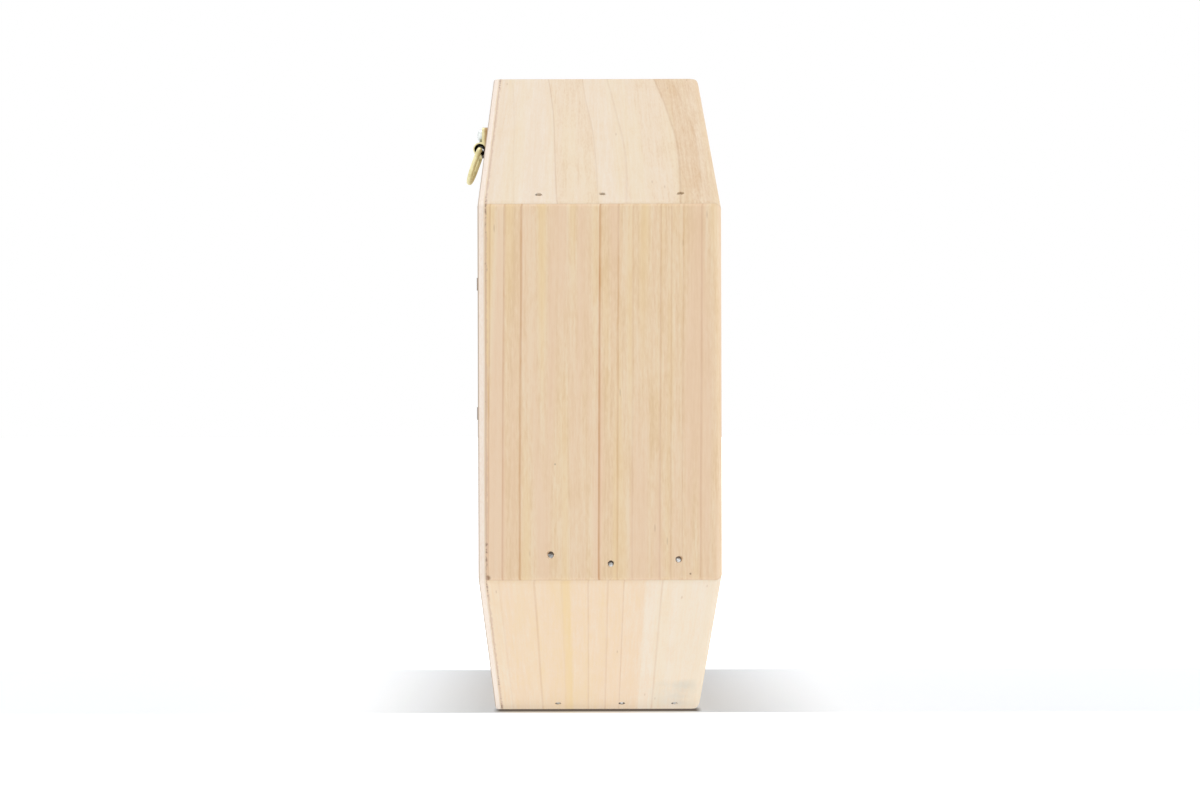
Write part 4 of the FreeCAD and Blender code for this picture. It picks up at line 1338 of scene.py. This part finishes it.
@dataclass
class NestLogs:
    """Short logs in their bark, with nest holes drilled in the front ends."""

    finish: BarkedLog
    cell: float = 240.0
    rows: int = 3
    gap: float = 0.4
    front: float = FRONT - 7.0
    hole: float = 2.7
    hole_circle: float = 12.0
    hub: float = 6.6
    bark: float = 1.7
    furrow: float = 0.45
    furrow_length: float = 9.0
    furrow_limits: Pair = (-1.2, 0.7)
    unevenness: float = 0.3
    clearance: float = 0.35
    counts: tuple[int, int, int] = (6, 5, 4)
    arc: int = 14
    spoke: int = 7
    # Loops of end grain, as shares of the way to a hole's edge, and loops of the bore, as a share
    # of the hole's radius and a depth below the sawn end.
    grain_loops: tuple[float, ...] = (0.0, 0.35, 0.7, 0.92)
    bore_loops: tuple[Pair, ...] = (
        (1.0, 0.35), (0.98, 6.0), (0.98, 55.8), (0.0, 62.0),
    )
    bark_rings: int = 40

    def rim(self, angle: Array, seed: int) -> Array:
        """The wood's outline under the bark: a slightly uneven circle.

        Args:
            angle: Angles round the log.
            seed: The log's number.

        Returns:
            The radius at each angle.
        """
        _, pitch = cell_places(self.rows, self.cell)
        uneven = self.unevenness * ripple(seed, *circle(angle), waves=5)
        return (pitch - self.gap) / 2 - self.bark - self.clearance + uneven

    def end_face(self, shell: Shell, seed: int, tone: float, middle: Array) -> Array:
        """Adds the sawn end: a sector round each outer hole, and a ring round the middle hole.

        Each sector runs from its hole's circle out to its own boundary of two spokes and two arcs.
        Neighbours share the spokes, and the inner arcs are the outer edge of the middle's ring.

        Args:
            shell: Gathers the grids.
            seed: The log's number.
            tone: The log's own tone.
            middle: The log's middle at the case's back.

        Returns:
            Angles of the rim's points, in order.
        """
        count = self.counts[seed % len(self.counts)]
        half = math.pi / count
        aim = FULL_TURN * (np.arange(count) + GOLDEN * seed) / count
        sweep = np.linspace(-half, half, self.arc)[None, :] + aim[:, None]
        spoke = np.linspace(1.0, 0.0, self.spoke)[1:-1]
        # Angles of each stretch of the boundary, and its share of the way from the hub to the rim.
        stretches = [np.broadcast_arrays(*stretch) for stretch in (
            (sweep, np.ones(self.arc)), (sweep[:, -1:], spoke),
            (sweep[:, ::-1], np.zeros(self.arc)), (sweep[:, :1], spoke[::-1]),
        )]
        swing, share = (np.concatenate(parts, axis=1) for parts in zip(*stretches))
        reach = self.hub + (self.rim(swing, seed) - self.hub) * share
        border = reach[..., None] * joined(*circle(swing))
        centre = self.hole_circle * joined(*circle(aim))[:, None]
        away = border - centre
        toward = away / np.linalg.norm(away, axis=-1, keepdims=True)
        self.drill(shell, centre + self.hole * toward, centre, border, tone, middle)
        angle = sweep[:, :-1].ravel()
        ring = joined(*circle(angle))[None]
        self.drill(shell, self.hole * ring, 0.0 * ring[:, :1], self.hub * ring, tone, middle)
        return angle

    def drill(self, shell: Shell, edge: Array, centre: Array, border: Array,
              tone: float, middle: Array) -> None:
        """Adds holes with the end grain round them, as loops from a border to a hole's bottom.

        Args:
            shell: Gathers the grids.
            edge: Points of each hole's circle.
            centre: Each hole's middle.
            border: Outer loop of the end grain round each hole.
            tone: The log's own tone.
            middle: The log's middle at the case's back.
        """
        loops = [border + (edge - border) * share for share in self.grain_loops]
        loops += [centre + (edge - centre) * share for share, _ in self.bore_loops]
        flat = np.stack(np.broadcast_arrays(*loops), axis=1)
        kinds = [(0.0, Zone.CUT.value)] * len(self.grain_loops)
        kinds += [(drop, Zone.BORE.value) for _, drop in self.bore_loops]
        drop, zone = (column.reshape(1, -1, 1) for column in np.array(kinds).T)
        local = joined(flat[..., 0], drop - self.front, flat[..., 1])
        shell.add(local + middle, zone=zone, local=local, tone=tone)

    def build(self) -> None:
        """Makes every log: its drilled end, its bark and its back."""
        material = self.finish.material()
        places, _ = cell_places(self.rows, self.cell)
        # The bark starts on the sawn end and is rounded over to its full thickness.
        along = np.linspace(self.front - 2.0, REAR, self.bark_rings)
        depth = np.concatenate(([self.front] * 2, [self.front - 0.5], along, [REAR]))[:, None]
        share = np.ones_like(depth)
        share[:2, 0] = 0.0, 0.85
        for seed, middle in enumerate(places.reshape(-1, 3), start=1):
            node = f"nest_log_{seed:02d}"
            tone = (GOLDEN * seed) % 1.0
            shell = Shell()
            angle = self.end_face(shell, seed, tone, middle)
            cosine, sine = circle(angle)
            furrow = ripple(BARK_SEED + seed, 3 * cosine, 3 * sine, depth / self.furrow_length,
                            waves=9)
            thick = self.bark + self.furrow * np.clip(furrow, *self.furrow_limits)
            ring = self.rim(angle, seed) + thick * share
            ring[-1] = 0.0
            local = joined(ring * cosine, -depth, ring * sine)
            shell.add(local + middle, zone=Zone.SKIN.value, local=local, tone=tone)
            shell.piece(f"{node}_barked", (node,), "log_wood", material)


@dataclass
class PineCones:
    """Open pine cones, points to the front: scales set round a core by the golden angle."""

    finish: ConeScale
    cell: float = 0.0
    rows: int = 3
    gap: float = 0.4
    length: float = 76.0
    difference: float = 4.0
    tip: float = 3.0
    core_share: float = 0.38
    core_ends: Pair = (0.05, 0.95)
    core_shape: tuple[int, int] = (12, 14)
    core_tone: float = 0.3
    scales: int = 88
    columns: int = 8
    # Where the scales' tips lie, as shares of the cone's length, and how far they stray.
    sown: Pair = (0.04, 0.985)
    stray: float = 0.008
    # A scale's tip and root, as shares of the outline's radius and of the tip's own, and the
    # spread of the tips.
    tip_share: float = 0.95
    root_share: float = 0.3
    tips: Pair = (0.95, 1.0)
    # How far a root lies behind its tip, as shares of the cone's length: at the base, and more on.
    lag: Pair = (0.17, 0.05)
    first_root: float = 0.02
    # Half a scale's width: its share of the tip's radius, the most it may be, and what is added.
    width: Triple = (0.42, 6.2, 0.6)
    ridge: float = 0.8
    cup: float = 0.16
    bend: float = 0.8
    hook: float = 0.35
    lift: float = 0.3
    # Share of the scale's length, half its width and half its thickness.
    profile: tuple[Triple, ...] = (
        (0.0, 0.15, 0.0), (0.3, 0.5, 0.3), (0.62, 0.92, 0.45), (0.84, 1.0, 1.0), (0.95, 0.72, 1.1),
        (1.0, 0.0, 0.0),
    )

    def girth(self, share: Array) -> Array:
        """The cone's outline: a sine bulge, fullest near the base.

        Args:
            share: Places along the cone, as shares of its length.

        Returns:
            The radius at each place.
        """
        _, pitch = cell_places(self.rows, self.cell)
        bulge = np.sin(math.pi * np.clip(share, 0.0, 1.0) ** GOLDEN) ** GOLDEN
        return self.tip + ((pitch - self.gap) / 2 - self.tip) * bulge

    def build(self) -> None:
        """Makes every cone: a core, and its scales as flattened tubes closed at both ends."""
        material = self.finish.material()
        places, _ = cell_places(self.rows, self.cell)
        # The scales are as close together along the cone as its girth is wide.
        fine = np.linspace(*self.sown, 200)
        total = np.cumsum(self.girth(fine))
        where = np.interp((np.arange(self.scales) + 0.5) / self.scales, total / total[-1], fine)
        for seed, middle in enumerate(places.reshape(-1, 3), start=1):
            node = f"pine_cone_{seed:02d}"
            length = self.length - seed % 3 * self.difference
            shell = Shell()
            self.core(shell, length, middle)
            self.scale_rows(shell, where, length, middle, seed)
            shell.piece(f"{node}_scaled", (node,), "pine_cone", material, sharp=60.0)

    def core(self, shell: Shell, length: float, middle: Array) -> None:
        """Adds the core that carries the scales: the outline at about a third of its width.

        Args:
            shell: Gathers the grids.
            length: The cone's length.
            middle: The cone's middle at the case's back.
        """
        rings, columns = self.core_shape
        share = np.linspace(0.0, self.core_ends[1], rings)[:, None]
        ring = self.core_share * self.girth(np.maximum(share, self.core_ends[0]))
        ring[[0, -1]] = 0.0
        cosine, sine = circle(round_angles(columns)[None])
        grid = joined(ring * cosine, -REAR - length * share, ring * sine) + middle
        shell.add(grid, reach=0.0, tone=self.core_tone)

    def scale_rows(self, shell: Shell, where: Array, length: float, middle: Array,
                   seed: int) -> None:
        """Adds the scales, each cupped and bent forward, with a thick ridged tip.

        A scale is a flattened tube: its width is a cosine round it and its thickness a sine. It
        runs from its root out to its tip, and forward by a power of that share.

        Args:
            shell: Gathers the grids.
            where: Each scale's tip, as a share of the cone's length.
            length: The cone's length.
            middle: The cone's middle at the case's back.
            seed: The cone's number.
        """
        draw = np.random.default_rng(CONE_SEED + seed)
        count = (len(where), 1, 1)
        out, wide, thick = (column.reshape(1, -1, 1) for column in np.array(self.profile).T)
        spin = (np.arange(len(where)) * FULL_TURN * (1.0 - GOLDEN) + seed).reshape(count)
        tip = where.reshape(count) + draw.uniform(-self.stray, self.stray, count)
        tip_radius = self.tip_share * self.girth(tip) * draw.uniform(*self.tips, count)
        root_radius = self.root_share * tip_radius
        lag = np.minimum(self.lag[0] + self.lag[1] * tip, tip - self.first_root) * length
        half_wide = np.minimum(self.width[0] * tip_radius, self.width[1]) + self.width[2]
        around_cos, around_sin = circle(round_angles(self.columns).reshape(1, 1, -1))
        across = around_cos * wide * half_wide
        ridge = self.ridge * around_sin * thick
        cup = self.cup * across ** 2 / half_wide
        radial = root_radius + (tip_radius - root_radius) * out - self.hook * ridge
        forward = tip * length - lag * (1.0 - out) ** self.bend + ridge - cup
        forward = np.clip(forward, self.lift, length)
        cosine, sine = circle(spin)
        grid = joined(radial * cosine - across * sine, -REAR - forward,
                      radial * sine + across * cosine)
        shell.add(grid + middle, reach=out, tone=draw.uniform(0.0, 1.0, count))


@dataclass
class Hardware:
    """The hangers and staples, whose solids already have their shape."""

    brass: PlatedMetal
    zinc: PlatedMetal
    wire: PlatedMetal
    # The strap's fold: its radius, its middle from the back and below the top, and half its width.
    fold: float = 2.35
    fold_depth: float = 3.55
    fold_drop: float = 10.0
    half_width: float = 4.8

    def build(self) -> None:
        """Dresses the solids of the hangers and the staples."""
        low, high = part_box("hanger_strap_right")
        middle = (low[0] + high[0]) / 2 / MM
        height = high[2] / MM - self.fold_drop
        # The strap gets painted shade: black in and under its fold, brown along the wall.
        fold_shade = PaintedFoldShade(middle, self.fold_depth, height, self.fold, self.half_width)
        finishes = {
            "strap": replace(self.brass, name="brass_plate_painted_shade", fold_shade=fold_shade).material(),
            "ring": self.brass.material(),
            "screw": self.zinc.material(),
        }
        parts = {"back_staples": self.wire.material()}
        for side in ("left", "right"):
            parts |= {f"hanger_{part}_{side}": finish for part, finish in finishes.items()}
        for name, material in parts.items():
            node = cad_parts[name]
            node.data.materials.clear()
            node.data.materials.append(material)
            LOG.info("%s: dressed", name)


@dataclass
class Studio:
    """The photograph's camera, a white floor and surroundings, and soft light.

    Lengths are in metres. A pair of them says where a soft edge on the floor starts and ends.
    """

    eye: Triple = (-0.7926, -0.0409, -0.0037)
    lens: float = 50.21
    sensor: float = 36.0
    principal: Pair = (580.85, 401.3)
    image: Pair = (1200.0, 789.0)
    roll: float = 0.146
    floor_height: float = -0.150
    floor_size: float = 12.0
    sky: float = 0.3
    floor_light: float = 0.945
    floor_colour: str = "DBE0E6"
    # The shaded strip behind the contact: its near and far edge, its ends and its own glow.
    strip_near: Pair = (-0.004, -0.011)
    strip_far: Pair = (0.116, 0.128)
    strip_ends: Pair = (0.006, 0.068)
    end_glow: float = 0.34
    strip_glow: float = 0.05
    # The contact shadow painted under the standing edge: its near and far edge and its ends.
    contact_near: Pair = (-0.0035, -0.0025)
    contact_far: Pair = (0.008, 0.003)
    contact_ends: Pair = (0.001, -0.002)
    contact_shadow_colour: str = "625A52"
    # Each soft sun's name, power, spread, tilt and heading. The tilt is measured from overhead. The
    # heading is the way the light travels, anticlockwise from the way from the front to the back.
    suns: tuple[tuple[str, float, float, float, float], ...] = (
        ("overhead", 0.95, 22.0, 0.0, 0.0),
        ("camera_fill", 0.8, 70.0, 75.0, -90.0),
        ("front_fill", 0.8, 70.0, 65.0, 0.0),
        ("cell_fill", 0.5, 60.0, 89.0, 0.0),
        ("back_fill", 0.9, 70.0, 70.0, 180.0),
    )

    def camera(self) -> None:
        """Sets the camera square on to the case's left side."""
        data = bpy.data.cameras.new("camera")
        data.lens, data.sensor_width = self.lens, self.sensor
        data.shift_x = (self.image[0] / 2 - self.principal[0]) / self.image[0]
        data.shift_y = (self.principal[1] - self.image[1] / 2) / self.image[0]
        camera = bpy.data.objects.new("camera", data)
        camera.location = self.eye
        camera.rotation_euler = (math.radians(90.0), math.radians(self.roll), math.radians(-90.0))
        bpy.context.scene.collection.objects.link(camera)
        bpy.context.scene.camera = camera

    def seen(self, recipe: Recipe) -> Socket:
        """Tells rays that show the surroundings from rays that light the object.

        Args:
            recipe: The material or world being made.

        Returns:
            1 for rays from the camera, a gloss or a glass.
        """
        path = recipe.node("LightPath").node.outputs
        shown = recipe.node("Math", (path["Is Camera Ray"], path["Is Glossy Ray"]), **LARGER)
        return recipe.node("Math", (shown, path["Is Transmission Ray"]), **LARGER)

    def floor_finish(self) -> Material:
        """Builds a matt white paint: white where light falls, grey in the object's shadow, and a
        contact shadow painted dark under the standing edge.

        It lights the object evenly, as a burnt-out floor does right up to the standing edge.

        Returns:
            The material.
        """
        recipe = Recipe(bpy.data.materials.new("white_floor"))
        node = recipe.node
        where = node("TexCoord", out="Object")
        x, y, _ = node("SeparateXYZ", (where,)).node.outputs
        half = 0.5 * FRONT * MM
        away = node("Math", (recipe.weighed(half, (y, 1.0)),), **UNSIGNED)
        # The photograph's floor is burnt out to white but for a strip behind the contact.
        burnt = node("MapRange", (x, *self.strip_near), **SMOOTHLY)
        far = node("MapRange", (x, *self.strip_far), **SMOOTHLY)
        # Towards the strip's ends the floor glows more, a painted fade of the shadow.
        ends = [half + edge for edge in self.strip_ends]
        ends = node("MapRange", (away, *ends, 0.0, self.end_glow))
        for part in (far, ends):
            burnt = node("Math", (burnt, part), **LARGER)
        glow = recipe.weighed(self.strip_glow, (burnt, 1.0 - self.strip_glow))
        # A contact shadow is painted dark on the floor under the standing edge.
        contact = node("MapRange", (x, *self.contact_near))
        far = node("MapRange", (x, *self.contact_far))
        ends = node("MapRange", (away, *(half + edge for edge in self.contact_ends)))
        for part in (far, ends):
            contact = node("Math", (contact, part), **TIMES)
        paint = node("Mix", (contact, self.floor_colour, self.contact_shadow_colour), **COLOURS)
        matt = node("BsdfDiffuse", {"Color": paint})
        shown = node("AddShader", (matt, node("Emission", {"Strength": glow})))
        plain = node("Emission", {"Strength": self.floor_light})
        both = node("MixShader", (self.seen(recipe), plain, shown))
        node("OutputMaterial", {"Surface": both})
        return recipe.owner

    def floor(self) -> None:
        """Lays the floor, a square under the standing edge."""
        half = self.floor_size / 2
        signs = ((-1, -1), (1, -1), (1, 1), (-1, 1))
        corners = [(x * half, y * half, self.floor_height) for x, y in signs]
        mesh = bpy.data.meshes.new("floor")
        mesh.from_pydata(corners, [], [(0, 1, 2, 3)])
        mesh.materials.append(self.floor_finish())
        floor = bpy.data.objects.new("floor", mesh)
        bpy.context.scene.collection.objects.link(floor)

    def world(self) -> None:
        """Surrounds the scene with white, seen at full strength and lighting at a plain one."""
        recipe = Recipe(bpy.data.worlds.new("white_surroundings"))
        strength = recipe.weighed(self.sky, (self.seen(recipe), 1.0 - self.sky))
        back = recipe.node("Background", {"Color": "FFFFFF", "Strength": strength})
        recipe.node("OutputWorld", {"Surface": back})
        bpy.context.scene.world = recipe.owner

    def lamps(self) -> None:
        """Adds the suns: one overhead, and fills that reach every side and into the cells."""
        for name, power, spread, tilt, heading in self.suns:
            data = bpy.data.lights.new(name, "SUN")
            data.energy, data.angle = power, math.radians(spread)
            lamp = bpy.data.objects.new(name, data)
            lamp.rotation_euler = (math.radians(tilt), 0.0, math.radians(heading))
            bpy.context.scene.collection.objects.link(lamp)

    def build(self) -> None:
        """Sets up the whole studio."""
        bpy.context.scene.view_settings.view_transform = "Standard"
        self.camera()
        self.floor()
        self.world()
        self.lamps()


TAN_FIR = ("F1DABB", "EDD1AD", "E6C79E", "BD7830", "EECFB1", "EFD3A2")
PALE_FIR = ("F0E1CF", "ECD7BC", "DCBB94", "B88854", "EBD6BE", "ECDBB6")
WARM_FIR = ("F2E3CE", "F1D7B8", "F0D3A2", "BC8450", "F0D6BA", "F0D8AE")
UNSEEN_FIR = (PALE_FIR, WARM_FIR, TAN_FIR)

# Late-wood lines of the three boards that the photograph shows, from back to front.
LEFT_LINES = (
    (4.5, 0.4, 0.35, 0.05), (10.2, 0.1, 0.5, 0.62), (17.0, 0.66, 0.8, 0.35), (48.2, 0.4, 1.0, 0.6),
    (55.5, 0.6, 0.36, 0.35), (61.4, 0.35, 0.2, 0.4), (72.4, 0.42, 0.32, 0.56),
    (76.8, 0.56, 0.22, 0.5), (81.3, 0.5, 0.17, 0.56), (88.7, 0.56, 0.38, 0.45),
)
TOP_LEFT_LINES = (
    (11.0, 0.3, 0.1, 0.18), (28.6, 0.25, 0.28, 0.5), (45.9, 0.52, 0.18, 0.3),
    (58.4, 0.35, 0.22, 0.35), (82.0, 0.56, 0.5, 0.8), (90.5, 0.82, 0.14, 0.72),
)
BOTTOM_LEFT_LINES = (
    (8.5, 0.4, 0.14, 0.5), (22.5, 0.5, 0.4, 0.55), (33.4, 0.65, 0.1, 1.0), (36.8, 0.95, 0.0, 0.55),
    (43.9, 0.55, 0.32, 0.5), (51.7, 0.52, 0.28, 0.52), (58.2, 0.52, 0.3, 0.48),
    (67.0, 0.45, 0.0, 0.1), (73.5, 0.12, 0.34, 0.08),
)
# Specks on the left board, and a broad grey smudge on the lower one.
SPECKS = (
    Mark(84.1, 72.1, 0.35, 0.3, "6B4A30", 0.8),
    Mark(3.9, 73.6, 1.0, 0.5, "7A5530", 0.8),
    Mark(30.6, 28.6, 0.25, 0.3, "8A6A48", 0.6),
)
SMUDGE = tuple(
    Mark(depth, along, 4.0, 4.5, "BABBB2", strength)
    for depth, strength in ((79.0, 0.16), (87.0, 0.3)) for along in (41.0, 49.0, 57.0, 65.0)
)


def fir_for(number: int) -> PlanedFir:
    """The finish of one board of the case.

    Args:
        number: The board's place, anticlockwise from the right-hand one.

    Returns:
        Its finish.
    """
    side = BOARDS[number]
    finish = PlanedFir(f"case_fir_{side}", BOARD_TURN * number, (), UNSEEN_FIR[number % 3], 0.01,
                       seed=3.0 * number, sawn=True, figure=0.9)
    shown = {
        "left": (LEFT_LINES, {"colours": TAN_FIR, "lean": 0.007, "figure": 1.8, "marks": SPECKS}),
        "top_left": (TOP_LEFT_LINES, {"colours": PALE_FIR, "lean": -0.035, "figure": 0.7,
                                      "wander": 9.0, "bow": 5.0}),
        # The lowest edge, between the bottom boards, has a highlight painted on its arris.
        "bottom_left": (BOTTOM_LEFT_LINES, {"colours": WARM_FIR, "lean": -0.004, "figure": 0.6,
                                            "marks": SMUDGE, "arris_highlight": 0.75}),
    }
    if side not in shown:
        return replace(finish, lines=grown_lines(CASE_LINES_SEED + number))
    rows, looks = shown[side]
    return replace(finish, lines=tuple(GrowthLine(*row) for row in rows), **looks)


def main() -> None:
    """Builds the studio and every piece."""
    logging.basicConfig(level=logging.INFO, format="%(message)s")
    steel = PlatedMetal("bright_steel", "BEBFBE", "77787A", 0.46)
    wire = PlatedMetal("galvanised_wire", "857A73", "584F4A", 0.5)
    zinc = PlatedMetal("zinc_plated_steel", "CCCFCD", "BCC0BF", 0.5)
    brass = PlatedMetal("brass_plated_steel", "D6CEA4", "C6BB8E", 0.55, 0.8)
    Studio().build()
    # On the lower boards the shade painted round each nail reaches further out.
    boards = [CaseBoard(number, fir_for(number), rim_reach=0.2 if "bottom" in side else -0.1)
              for number, side in enumerate(BOARDS)]
    for board in boards:
        board.build()
    CornerNails(boards, steel).build()
    BackPanel(Plywood()).build()
    Dividers().build()
    Hardware(brass, zinc, wire).build()
    Canes(CutBamboo()).build()
    NestLogs(BarkedLog()).build()
    PineCones(ConeScale()).build()
    bpy.context.view_layer.update()


if __name__ == "__main__":
    main()
